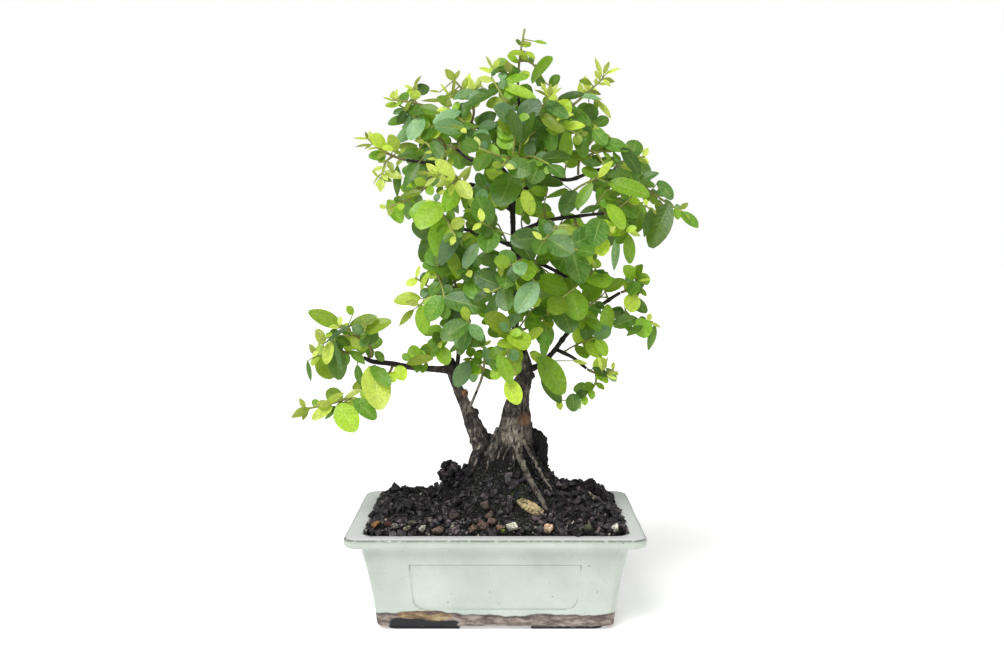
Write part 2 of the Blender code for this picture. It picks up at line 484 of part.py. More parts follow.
def tube(path, radii, sides):
    # Tapered tube along a path, its rings turned as little as possible.
    path = [Vector(p) for p in path]
    tangents = []
    for i, p in enumerate(path):
        before, after = path[max(i - 1, 0)], path[min(i + 1, len(path) - 1)]
        tangents.append((after - before).normalized())
    seed = Vector((0, 1, 0)) if abs(tangents[0].y) < 0.8 else Vector((1, 0, 0))
    side = tangents[0].cross(seed).normalized()
    rings = []
    for p, tangent, radius in zip(path, tangents, radii):
        side = (side - tangent * side.dot(tangent)).normalized()
        up = tangent.cross(side)
        rings.append([tuple(p + (side * math.cos(2 * math.pi * k / sides)
                                 + up * math.sin(2 * math.pi * k / sides)) * radius) for k in range(sides)])
    return loft(rings)


def wood_tube(name, grow=0.0):
    sides, rows = WOOD[name]
    path, radii = [Vector(row[:3]) for row in rows], [row[3] + grow for row in rows]
    if grow:
        path[0] -= (path[1] - path[0]).normalized() * grow
        path[-1] += (path[-1] - path[-2]).normalized() * grow
    return tube(path, radii, sides)


# Pot

def pot_level(inset, z, shrink=0.0):
    half_x, half_y = POT_LENGTH / 2 - inset - shrink, POT_DEPTH / 2 - inset - shrink
    radius = max(CORNER_RADIUS - max(inset - 8.0, 0.0) * 0.25 - shrink, 2.0)
    return rounded_ring(half_x, half_y, radius, z)


def panel_cutter(side):
    # Prism through a long wall, in the outline of the panel with its lower corners rounded.
    lean = (PANEL["top"] - PANEL["foot"]) / (PANEL["z_top"] - PANEL["z_foot"])
    outline = [(-PANEL["top"], PANEL["z_top"])]
    for k in range(4):
        angle = math.radians(180 + 30 * k)
        outline.append((-PANEL["foot"] + PANEL["radius"] * (1 + math.cos(angle)),
                        PANEL["z_foot"] + PANEL["radius"] * (1 + math.sin(angle))))
    outline[1] = (outline[1][0] - lean * PANEL["radius"], outline[1][1])
    outline += [(-x, z) for x, z in reversed(outline)]
    near, far = 30.0, 70.0
    rings = [[(x, side * y, z) for x, z in outline] for y in (near, far)]
    return loft(rings if side < 0 else rings[::-1])


def make_pot():
    pot = add_object("pot", *loft([pot_level(*row) for row in POT_OUTSIDE]), "glaze")
    panels = [add_object("panel", *panel_cutter(side), helper=True) for side in (-1, 1)]
    combine(pot, panels, "DIFFERENCE")
    core = [pot_level(inset, z, PANEL_SINK) for inset, z in POT_OUTSIDE[:4]]
    core[0] = [(x, y, z + 1.0) for x, y, z in core[0]]
    core[-1] = [(x, y, z + 0.4) for x, y, z in core[-1]]
    feet = [add_object("feet", *loft([rounded_ring(*FEET["outer"], 4.0, z, 2) for z in (0.0, 4.0)]))]
    inner = [add_object("inner", *loft([rounded_ring(*FEET["inner"], 3.0, z, 2) for z in (-1.0, 4.4)]),
                        helper=True),
             add_object("arch", *box((FEET["gap_long"], 70, FOOT_HEIGHT), (0, 0, 0.0)), helper=True),
             add_object("arch", *box((90, FEET["gap_short"], FOOT_HEIGHT), (0, 0, 0.0)), helper=True)]
    recess = add_object("recess", *loft([rounded_ring(*FEET["inner"], 3.0, z, 2) for z in (-1.0, 3.6)]),
                        helper=True)
    combine(feet[0], inner, "DIFFERENCE")
    combine(pot, [add_object("core", *loft(core))] + feet, "UNION")
    cavity = [pot_level(*row) for row in POT_INSIDE[::-1]]
    cavity.append([(x, y, POT_HEIGHT + 2) for x, y, z in cavity[-1]])
    holes = [add_object("cavity", *loft(cavity), helper=True), recess]
    for x in (-DRAIN_X, DRAIN_X):
        round_hole = [(math.cos(math.pi * k / 6), math.sin(math.pi * k / 6)) for k in range(12)]
        points = [[(x + DRAIN_RADIUS * across, DRAIN_RADIUS * up, z) for across, up in round_hole]
                  for z in (-2.0, FLOOR_TOP + 2)]
        holes.append(add_object("drain", *loft(points), helper=True))
    combine(pot, holes, "DIFFERENCE")


def make_drain_mesh(name, x):
    middle = FLOOR_TOP + CLEARANCE + MESH_THICK / 2
    plate = add_object(name, *box((MESH_SIDE / 2, MESH_SIDE / 2, MESH_THICK / 2), (x, 0, middle)),
                       "mesh_plastic")
    pitch, half = (MESH_SIDE - 1.6) / 4, MESH_HOLE / 2
    holes = [add_object("hole", *box((half, half, 3), (x + i * pitch, j * pitch, middle)), helper=True)
             for i in (-1, 1) for j in (-1, 1)]
    combine(plate, holes, "DIFFERENCE")


# Soil

def ground(x, y):
    # Height of the soil under a point.
    inside = min(POT_LENGTH / 2 - RIM_FLAT - abs(x), POT_DEPTH / 2 - RIM_FLAT - abs(y))
    height = SOIL_EDGE + SOIL_SHOULDER * (1 - math.exp(-max(inside, 0.0) / 6.0))
    fade = 1 - math.exp(-max(inside, 0.0) / 7.0)
    for mx, my, rise, sx, sy in MOUNDS:
        height += fade * rise * math.exp(-(((x - mx) / sx) ** 2 + ((y - my) / sy) ** 2) ** 1.5)
    ripple = math.sin(0.37 * x + 1.1) * math.sin(0.41 * y + 0.4) + 0.7 * math.sin(0.83 * x - 0.5 * y + 2.0)
    return height + fade * 0.9 * ripple


def make_soil():
    rng = random.Random("soil")
    gap = CLEARANCE + 0.05
    rings, wall = [], []
    for inset, z in POT_INSIDE[::-1]:
        if z < 54.0:
            wall.append((inset + gap, z + (gap if z == FLOOR_TOP else 0)))

    def outline(inset, z, count=SOIL_SIDES):
        # Points of a rounded rectangle, spread by equal angle steps along its edge.
        half_x, half_y = POT_LENGTH / 2 - inset, POT_DEPTH / 2 - inset
        ring, length = [], 2 * (half_x + half_y)
        radius = 9.0
        for k in range(count):
            at = (k + 0.5) / count * 2 * length
            x, y = half_x, -half_y
            for dx, dy, run in ((0, 1, 2 * half_y), (-1, 0, 2 * half_x), (0, -1, 2 * half_y),
                                (1, 0, 2 * half_x)):
                if at <= run:
                    x, y = x + dx * at, y + dy * at
                    break
                x, y, at = x + dx * run, y + dy * run, at - run
            cx, cy = min(abs(x), half_x - radius), min(abs(y), half_y - radius)
            if abs(x) > cx and abs(y) > cy:
                out = Vector((abs(x) - cx, abs(y) - cy)).normalized() * radius
                x, y = math.copysign(cx + out.x, x), math.copysign(cy + out.y, y)
            ring.append((x, y, z))
        return ring

    for inset, z in wall:
        rings.append(outline(inset, z))
    top_edge = outline(12.8 + gap, 54.8)
    rings.append(top_edge)
    for k in range(SOIL_RINGS):
        share = 1 - (k / SOIL_RINGS) ** 1.1 if k else 1.0
        inset_ring = outline(RIM_FLAT + 1.3 + gap, 0.0)
        ring = []
        for x, y, _ in inset_ring:
            x, y = x * share, y * share
            jolt = rng.uniform(-0.9, 0.9) if k else 0.0
            ring.append((x, y, ground(x, y) + jolt))
        rings.append(ring)
    points, faces = loft(rings)
    faces.pop()
    last = (len(rings) - 1) * SOIL_SIDES
    centre = (0.0, 0.0, ground(0, 0))
    points.append(centre)
    for k in range(SOIL_SIDES):
        faces.append((last + k, last + (k + 1) % SOIL_SIDES, len(points) - 1))
    soil = add_object("soil", points, faces, "potting_mix")
    clods = []
    for n, (x, y, over, radius) in enumerate(CLODS):
        ball = bmesh.new()
        bmesh.ops.create_icosphere(ball, subdivisions=1, radius=radius)
        stretch = Vector((rng.uniform(0.8, 1.2), rng.uniform(0.8, 1.2), rng.uniform(0.7, 1.0)))
        verts = []
        for vert in ball.verts:
            jolt = rng.uniform(0.82, 1.16)
            verts.append((x + vert.co.x * stretch.x * jolt, y + vert.co.y * stretch.y * jolt,
                          ground(x, y) + over + vert.co.z * stretch.z * jolt))
        clods.append(add_object(f"clod_{n}", verts, [tuple(v.index for v in f.verts) for f in ball.faces]))
        ball.free()
    combine(soil, clods, "UNION")
    cutters = [add_object("hole_" + name, *wood_tube(name, CLEARANCE + 0.1), helper=True)
               for name in IN_SOIL]
    for x in (-DRAIN_X, DRAIN_X):
        side, tall = MESH_SIDE / 2 + CLEARANCE, MESH_THICK + 2 * CLEARANCE
        cutters.append(add_object("mesh_room", *box((side, side, tall), (x, 0, FLOOR_TOP)), helper=True))
    combine(soil, cutters, "DIFFERENCE")
    keep_largest(soil)


# Plant

def make_trunk():
    trunk = add_object("trunk", *wood_tube("main"), "bark")
    combine(trunk, [add_object(name, *wood_tube(name)) for name in WOOD if name != "main"], "UNION")
    keep_largest(trunk)


def blade(base, along, normal, length, width, grow=0.0, root=None):
    # A cupped, drooping leaf blade, top and bottom skins alike, with a flat stalk where its root on the
    # twig is given.
    slim = width < min(0.58 * length, SLIM_BELOW)
    outline = BLADE_SLIM if slim else BLADE_LARGE if length >= LARGE_FROM else BLADE_SMALL
    if root:
        outline = [(0.0, STALK_RADIUS / width)] + outline
    across = normal.cross(along)
    half = BLADE_THICK / 2 + grow

    def place(u, v, level):
        lift = FOLD * abs(v) * width - DROOP * length * u * u
        flat = base + along * (u * (length + grow)) + across * (v * (width + 2 * grow))
        return flat + normal * (lift + level)

    points = []
    for level in (half, -half):
        points.append(root + normal * level if root else place(0.0, 0.0, level))
        points += [place(u, -v, level) for u, v in outline] + [place(1.0, 0.0, level)]
        points += [place(u, v, level) for u, v in reversed(outline)]
    steps, count = len(outline), 2 * len(outline) + 2
    skin = [(0, 1, count - 1), (steps, steps + 1, steps + 2)]
    for k in range(1, steps):
        skin += [(k, k + 1, count - 1 - k), (k, count - 1 - k, count - k)]
    faces = skin + [(count + c, count + b, count + a) for a, b, c in skin]
    for k in range(count):
        after = (k + 1) % count
        faces.append((after, k, count + k, count + after))
    return points, faces


class Crowd:
    # What is already in place, to keep new pieces clear of it.
    def __init__(self):
        self.placed = []

    def tree(self, points, faces):
        points = [Vector(p) for p in points]
        middle = sum(points, Vector()) / len(points)
        reach = max((p - middle).length for p in points)
        flat = []
        for face in faces:
            flat += [(face[0], face[k], face[k + 1]) for k in range(1, len(face) - 1)]
        return middle, reach, BVHTree.FromPolygons(points, flat)

    def add(self, points, faces, owner):
        self.placed.append((*self.tree(points, faces), owner))

    def hits(self, points, faces, ignore=()):
        middle, reach, tree = self.tree(points, faces)
        for other_middle, other_reach, other, owner in self.placed:
            if owner in ignore or (middle - other_middle).length > reach + other_reach:
                continue
            if tree.overlap(other):
                return owner
        return None


def along_path(path, share):
    runs = [(b - a).length for a, b in zip(path, path[1:])]
    at = share * sum(runs)
    for k, run in enumerate(runs):
        if at <= run or k == len(runs) - 1:
            part = min(at / run, 1.0)
            return path[k].lerp(path[k + 1], part), (path[k + 1] - path[k]).normalized(), k, part
        at -= run


def bend(start, out, tip, steps=3):
    reach = (tip - start).length
    knee = start + out * reach * 0.42
    return [start.lerp(knee, t).lerp(knee.lerp(tip, t), t) for t in (k / steps for k in range(steps + 1))]


def shoots_of(name):
    # The paths of a spray's shoots: the first from its branch, the others from the first.
    branch, share, _, _, tips = SPRAYS[name]
    rows = WOOD[branch][1]
    path = [Vector(row[:3]) for row in rows]
    at, direction, k, part = along_path(path, share)
    radius = rows[k][3] + (rows[k + 1][3] - rows[k][3]) * part
    tip = Vector(tips[0][0])
    if share == 1.0:
        out = direction
        start = at + out * (CLEARANCE + 0.05)
    else:
        aim = tip - at
        out = (aim - direction * aim.dot(direction)).normalized()
        start = at + out * (radius + CLEARANCE + 0.1)
    shoots = [bend(start, out, tip)]
    for n, (tip, _, _) in enumerate(tips[1:]):
        at, direction, _, _ = along_path(shoots[0], 0.34 + 0.2 * n)
        out = (direction + (Vector(tip) - at).normalized()).normalized()
        shoots.append(bend(at, out, Vector(tip), 2))
    return shoots


def shoot_radii(path, first):
    base = TWIG_BASE if first else TWIG_BASE - 0.12
    return [base + (TWIG_TIP - base) * k / (len(path) - 1) for k in range(len(path))]


def light_from(at, rng):
    # Leaves turn their faces up, outwards and to the nearer long side of the pot.
    out = Vector((at.x - 8.0, at.y, 0.0))
    out = out.normalized() if out.length > 1 else Vector((0, -1, 0))
    facing = Vector((0, -1 if at.y < 16 else 1, 0))
    jolt = Vector([rng.uniform(-1, 1) for _ in range(3)])
    return (Vector((0, 0, 0.62)) + out * 0.36 + facing * 0.8 + jolt * 0.4).normalized()


def leaf_options(at, direction, side, length, tone, rng):
    # One leaf's ways to stand, the best first.
    width = BLADE_WIDTH[tone]
    for attempt in range(16):
        loose = attempt / 15
        facing = light_from(at, rng)
        lateral = direction.cross(facing)
        if lateral.length < 0.2:
            lateral = direction.cross(Vector((1, 0.2, 0.3)))
        lateral = lateral.normalized() * side
        spread = math.radians(rng.uniform(48, 68) if side else rng.uniform(-10, 10))
        along = direction * math.cos(spread) + lateral * math.sin(abs(spread))
        along += Vector([rng.uniform(-1, 1) for _ in range(3)]) * (0.16 + 0.5 * loose)
        along.z -= 0.12 if tone != "young" else -0.12
        along.normalize()
        normal = facing - along * facing.dot(along)
        if normal.length < 0.15:
            continue
        normal.normalize()
        size = length * rng.uniform(0.9, 1.1) * (1 - 0.32 * max(loose - 0.4, 0.0))
        yield along, normal, size, size * width * rng.uniform(0.92, 1.08)


def nearest_twig(plan, spot):
    # The spray whose twig passes nearest to a spot, and the point on it.
    best = None
    for name, shoots in plan.items():
        for path in shoots:
            for a, b in zip(path, path[1:]):
                share = min(max(intersect_point_line(spot, a, b)[1], 0.0), 1.0)
                on = a.lerp(b, share)
                if best is None or (on - spot).length < best[0]:
                    best = ((on - spot).length, name, on)
    return best[1:]


def hang_leaf(row, plan, crowd, rng):
    # A shown leaf and its stalk, stepped back or forward until both are clear of the rest.
    foot, point, width = row
    turn = rng.uniform(-0.25, 0.25)
    for step in STEPS:
        for lean in LEANS:
            base = Vector(foot) + Vector((0, step, 0))
            span = Vector(point) + Vector((0, step + lean, 0)) - base
            along = span.normalized()
            facing = Vector((turn, -0.8, 0.6))
            normal = (facing - along * facing.dot(along)).normalized()
            name, root = nearest_twig(plan, base)
            own = (name, name + " leaf")
            leaf = (base, along, normal, span.length, width)
            # A stalk that doubles back over its blade is a thin tube of its own.
            flat = (base - root).dot(along) > 0.3 * (base - root).length
            stalk = None if flat else (root, base + along * STALK_SUNK)
            far = blade(base + along * FOOT_FREE, along, normal, span.length - FOOT_FREE, width, GAP)
            tests = [blade(*leaf, GAP, root if flat else None)]
            if stalk:
                tests.append(tube(stalk, [STALK_RADIUS + GAP] * 2, TWIG_SIDES))
            if not crowd.hits(*far) and not any(crowd.hits(*test, ignore=own) for test in tests):
                return name, stalk, leaf + (0.0, root if flat else None)
    return None


def grow_plant():
    # Every twig first, then the leaves, each kept clear of all that stands.
    crowd = Crowd()
    for name in WOOD:
        crowd.add(*wood_tube(name), "wood")
    crowd.add(*loft([rounded_ring(POT_LENGTH / 2, POT_DEPTH / 2, 8.0, z) for z in (0.0, 92.0)]), "ground")
    plan = {name: shoots_of(name) for name in SPRAYS}
    twigs = {}
    for name, shoots in plan.items():
        twigs[name] = [tube(path, shoot_radii(path, n == 0), TWIG_SIDES) for n, path in enumerate(shoots)]
        for shape in twigs[name]:
            crossed = crowd.hits(*shape, ignore=(name,))
            if crossed:
                print("twig of", name, "crosses", crossed)
            crowd.add(*shape, name)
    leaves = {name: [] for name in SPRAYS}
    rng = random.Random("shown")
    for row in SHOWN_LEAVES:
        found = hang_leaf(row, plan, crowd, rng)
        if not found:
            print("no room for the leaf at", row)
            continue
        name, stalk, leaf = found
        crowd.add(*blade(*leaf), name + " leaf")
        if stalk:
            twigs[name].append(tube(stalk, [STALK_RADIUS] * 2, TWIG_SIDES))
            crowd.add(*twigs[name][-1], name + " leaf")
        leaves[name].append(leaf)
    skipped = 0
    for name, (_, _, length, tone, tips) in SPRAYS.items():
        rng = random.Random(name)
        for n, (path, (_, pairs, scale)) in enumerate(zip(plan[name], tips)):
            for pair in range(pairs):
                share = 0.42 + 0.5 * (pair + 0.5) / pairs if n == 0 else 0.5 + 0.45 * (pair + 0.5) / pairs
                at, direction, _, _ = along_path(path, share)
                fade = 1.0 - 0.34 * (pair / max(pairs - 1, 1)) ** 2 if pairs > 1 else 1.0
                ends = pair == pairs - 1 and (n > 0 or tone in END_LEAF)
                sides = [1, -1] + ([0] if ends else [])
                for side in sides:
                    root = at if side else path[-1] - direction * 1.2
                    size = length * scale * fade * (0.72 if side == 0 else 1.0)
                    for along, normal, long, wide in leaf_options(root, direction, side, size, tone, rng):
                        base = root + along * 0.15 + direction * 0.5 * side
                        shape = blade(base, along, normal, long, wide)
                        far = blade(base + along * FOOT_FREE, along, normal, long - FOOT_FREE, wide, GAP)
                        whole = blade(base, along, normal, long, wide, GAP)
                        if not (crowd.hits(*far) or crowd.hits(*whole, ignore=(name, name + " leaf"))):
                            crowd.add(*shape, name + " leaf")
                            leaves[name].append((base, along, normal, long, wide))
                            break
                    else:
                        skipped += 1
    print("leaves", sum(len(found) for found in leaves.values()), "skipped", skipped)
    return twigs, leaves


def make_sprays():
    twigs, leaves = grow_plant()
    for name, shapes in twigs.items():
        tone = SPRAYS[name][3]
        spray = add_object("spray_" + name, *shapes[0], "leaf_" + tone)
        others = [add_object(f"twig_{n}", *shape) for n, shape in enumerate(shapes[1:])]
        others += [add_object(f"leaf_{n}", *blade(*leaf)) for n, leaf in enumerate(leaves[name])]
        combine(spray, others, "UNION")
        keep_largest(spray)


def make_bark_flake():
    # A split strip of bark, tilted as the soil under it and resting on its highest spot.
    soil = bpy.data.objects["soil"].data
    spots, skin = [v.co / MM for v in soil.vertices], [tuple(face.vertices) for face in soil.polygons]
    top = BVHTree.FromPolygons(spots, skin)

    def height(u, v):
        x, y = FLAKE[0] + u * along - v * across, FLAKE[1] + u * across + v * along
        return top.ray_cast(Vector((x, y, 140)), Vector((0, 0, -1)))[0].z

    along, across = math.cos(math.radians(FLAKE[2])), math.sin(math.radians(FLAKE[2]))
    lean_u, lean_v = (height(7, 0) - height(-7, 0)) / 14, (height(0, 2) - height(0, -2)) / 4
    under = [(u, v * (1 - (u / 12) ** 2)) for u in range(-9, 9) for v in (-2.8, -1.4, 0, 1.4, 2.8)]
    rest = max(height(u, v) - lean_u * u - lean_v * v for u, v in under) + CLEARANCE
    outline = [(-8.8, -1.0), (-3.0, -2.6), (3.6, -2.8), (8.6, -1.4), (7.8, 1.4), (1.8, 2.6), (-5.2, 1.8)]
    rings = []
    for level, shrink in ((0.0, 1.0), (1.0, 1.0), (1.6, 0.8)):
        ring = []
        for u, v in outline:
            u, v = u * shrink, v * shrink
            ring.append((FLAKE[0] + u * along - v * across, FLAKE[1] + u * across + v * along,
                         rest + lean_u * u + lean_v * v + level))
        rings.append(ring)
    add_object("bark_flake", *loft(rings), "bark_chip")


make_pot()
make_drain_mesh("drain_mesh_left", -DRAIN_X)
make_drain_mesh("drain_mesh_right", DRAIN_X)
make_soil()
make_trunk()
make_bark_flake()
make_sprays()
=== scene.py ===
import math
import random
from functools import partial

import bmesh
import bpy
from mathutils import Matrix, Vector, noise
from mathutils.bvhtree import BVHTree
from mathutils.geometry import intersect_point_line
from mathutils.kdtree import KDTree


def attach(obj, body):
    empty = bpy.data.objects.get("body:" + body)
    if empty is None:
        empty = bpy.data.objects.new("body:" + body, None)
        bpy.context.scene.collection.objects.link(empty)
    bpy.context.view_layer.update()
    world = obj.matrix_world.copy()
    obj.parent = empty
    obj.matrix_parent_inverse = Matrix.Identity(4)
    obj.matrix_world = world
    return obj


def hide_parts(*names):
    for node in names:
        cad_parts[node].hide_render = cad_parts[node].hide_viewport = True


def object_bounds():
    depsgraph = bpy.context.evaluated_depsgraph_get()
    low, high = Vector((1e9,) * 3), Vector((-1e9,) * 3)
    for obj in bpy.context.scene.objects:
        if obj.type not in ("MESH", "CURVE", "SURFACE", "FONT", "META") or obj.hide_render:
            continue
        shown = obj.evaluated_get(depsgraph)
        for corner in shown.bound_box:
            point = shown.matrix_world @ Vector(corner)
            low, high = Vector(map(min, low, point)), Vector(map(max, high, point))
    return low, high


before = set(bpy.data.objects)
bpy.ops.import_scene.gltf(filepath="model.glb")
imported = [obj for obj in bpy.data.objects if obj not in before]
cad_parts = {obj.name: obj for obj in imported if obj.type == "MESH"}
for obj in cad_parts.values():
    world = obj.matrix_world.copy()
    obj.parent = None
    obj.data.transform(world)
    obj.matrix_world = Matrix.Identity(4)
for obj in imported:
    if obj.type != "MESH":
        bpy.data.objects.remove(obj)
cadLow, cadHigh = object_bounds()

# A serissa bonsai in a glazed rectangular pot. Tables are in millimetres, meshes in metres.
mm = 0.001
clearance = 0.3
boxLow, boxHigh = [Vector(corner) / mm for corner in (cadLow, cadHigh)]


# Small helpers

def hexLinear(code):
    # sRGB hex to the linear values that shaders take
    parts = [int(code[k:k + 2], 16) / 255 for k in (1, 3, 5)]
    return tuple(c / 12.92 if c <= 0.04045 else ((c + 0.055) / 1.055) ** 2.4 for c in parts) + (1.0,)


def smoothStep(low, high, value):
    t = min(max((value - low) / (high - low), 0.0), 1.0)
    return t * t * (3 - 2 * t)


def evenSteps(start, gap, count):
    return [start + gap * k for k in range(count)]


def jolt(rng):
    return Vector([rng.uniform(-1, 1) for _ in range(3)])


def finderOf(spots):
    finder = KDTree(len(spots))
    for k, spot in enumerate(spots):
        finder.insert(spot, k)
    finder.balance()
    return finder


def solidTree(name):
    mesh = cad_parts[name].data
    points = [v.co / mm for v in mesh.vertices]
    return BVHTree.FromPolygons(points, [tuple(p.vertices) for p in mesh.polygons])


def newFinish(name):
    # a new material, its shader, and the function below bound to it
    made = bpy.data.materials.new(name)
    made.use_nodes = True
    return made, made.node_tree.nodes["Principled BSDF"], partial(addNode, made.node_tree)


def addNode(tree, kind, settings=None, links=None):
    # one node, new or already there. A setting is a property of the node or one of its sockets, and a link
    # comes from a socket, or from the first one in use of another node
    made = tree.nodes.new("ShaderNode" + kind) if isinstance(kind, str) else kind
    for key, value in (settings or {}).items():
        if isinstance(key, str) and key in made.bl_rna.properties:
            setattr(made, key, value)
        else:
            made.inputs[key].default_value = value
    for key, source in (links or {}).items():
        if isinstance(source, bpy.types.Node):
            source = next(socket for socket in source.outputs if socket.enabled)
        tree.links.new(source, made.inputs[key])
    return made


def setRamp(ramp, stops):
    # stops: (position, hex colour)
    elements = ramp.color_ramp.elements
    while len(elements) < len(stops):
        elements.new(0.5)
    for element, (at, colour) in zip(elements, stops):
        element.position, element.color = at, hexLinear(colour)


def addPiece(name, points, faces, finishes, replaced=(), places=None, picks=None, smooth=True):
    # points in millimetres; places are four numbers a point that the finish reads, picks the finish of each
    # face
    mesh = bpy.data.meshes.new(name)
    mesh.from_pydata([(p[0] * mm, p[1] * mm, p[2] * mm) for p in points], [], faces)
    for finish in finishes:
        mesh.materials.append(finish)
    if places:
        layer = mesh.attributes.new("place", "FLOAT_COLOR", "POINT")
        layer.data.foreach_set("color", [n for row in places for n in row])
    if picks:
        mesh.polygons.foreach_set("material_index", picks)
    if smooth:
        mesh.shade_smooth()
    mesh.update()
    piece = bpy.data.objects.new(name, mesh)
    bpy.context.scene.collection.objects.link(piece)
    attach(piece, "root")
    if replaced:
        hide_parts(*replaced)
    return piece


def joinPart(points, faces, part):
    # adds a closed part, its points and faces, to those of a piece
    first = len(points)
    points += part[0]
    faces += [tuple(first + k for k in face) for face in part[1]]


def loft(rings):
    # closed solid through rings of equal count, the first and last capped
    count = len(rings[0])
    points = [p for ring in rings for p in ring]
    faces = [tuple(reversed(range(count)))]
    for level in range(len(rings) - 1):
        low, high = level * count, (level + 1) * count
        for k in range(count):
            after = (k + 1) % count
            faces.append((low + k, low + after, high + after))
            faces.append((low + k, high + after, high + k))
    top = (len(rings) - 1) * count
    faces.append(tuple(top + k for k in range(count)))
    return points, faces


def tube(path, radii, sides):
    # tapered tube along a path, its rings turned as little as possible
    path = [Vector(p) for p in path]
    last = len(path) - 1
    tangents = [(path[min(i + 1, last)] - path[max(i - 1, 0)]).normalized() for i in range(last + 1)]
    seed = Vector((0, 1, 0)) if abs(tangents[0].y) < 0.8 else Vector((1, 0, 0))
    side = tangents[0].cross(seed).normalized()
    rings = []
    for p, tangent, radius in zip(path, tangents, radii):
        side = (side - tangent * side.dot(tangent)).normalized()
        up = tangent.cross(side)
        rings.append([tuple(p + (side * math.cos(2 * math.pi * k / sides)
                                 + up * math.sin(2 * math.pi * k / sides)) * radius) for k in range(sides)])
    return loft(rings)


def roundedRing(halfX, halfY, radius, z, steps=3):
    ring = []
    for corner, (sx, sy) in enumerate([(1, 1), (-1, 1), (-1, -1), (1, -1)]):
        for k in range(steps + 1):
            angle = math.radians(90 * corner + 90 * k / steps)
            ring.append((sx * (halfX - radius) + radius * math.cos(angle),
                         sy * (halfY - radius) + radius * math.sin(angle), z))
    return ring


# Camera, floor and light

view = {"place": (0.0038, -0.677, 0.228), "downDegrees": 5.33, "lens": 40.88, "film": 36.0}
studio = {
    "sky": 0.26, "skyColour": "#ffffff", "floorHalf": 6.0, "floorColour": "#fafaf9", "glow": 0.42,
    # the side each lamp shines from, the angle of its softbox in degrees, strength
    "lamps": {"key": ((-0.45, -0.75, 1.0), 36, 2.5), "fill": ((0.8, -0.6, 0.5), 75, 0.38)},
}


def makeStudio():
    scene = bpy.context.scene
    camera = bpy.data.objects.new("camera", bpy.data.cameras.new("camera"))
    camera.data.lens, camera.data.sensor_width = view["lens"], view["film"]
    camera.location = view["place"]
    camera.rotation_euler = (math.radians(90 - view["downDegrees"]), 0, 0)
    scene.collection.objects.link(camera)
    scene.camera = camera
    scene.view_settings.view_transform = "Standard"

    scene.world = bpy.data.worlds.new("softbox")
    scene.world.use_nodes = True
    tree = scene.world.node_tree
    node = partial(addNode, tree)
    # plain white behind, while the plant is lit less from all round, so the inside of the crown stays deep
    rays = node("LightPath")
    strength = node("MapRange", {"To Min": studio["sky"], "To Max": 1.0},
                    {"Value": rays.outputs["Is Camera Ray"]})
    node(tree.nodes["Background"], {"Color": hexLinear(studio["skyColour"])}, {"Strength": strength})
    for name, (side, angle, power) in studio["lamps"].items():
        lamp = bpy.data.objects.new(name, bpy.data.lights.new(name, "SUN"))
        lamp.data.angle, lamp.data.energy = math.radians(angle), power
        lamp.rotation_euler = Vector(side).to_track_quat("Z", "Y").to_euler()
        scene.collection.objects.link(lamp)

    half = studio["floorHalf"]
    mesh = bpy.data.meshes.new("floor")
    corners = [(-half, -half, 0), (half, -half, 0), (half, half, 0), (-half, half, 0)]
    mesh.from_pydata(corners, [], [(0, 1, 2, 3)])
    floor = bpy.data.objects.new("floor", mesh)
    # Matt white card, lit from below by a light box that keeps it as white as the wall behind
    card, shader, node = newFinish("mattWhiteCard")
    node(shader, {"Base Color": hexLinear(studio["floorColour"]), "Roughness": 0.9,
                  "Emission Color": (1.0, 1.0, 1.0, 1.0), "Emission Strength": studio["glow"]})
    mesh.materials.append(card)
    scene.collection.objects.link(floor)


makeStudio()
print("studio set")


# Wood and leafy sprays, as in the solids: for each tube its sides, then x, y, z and radius along it

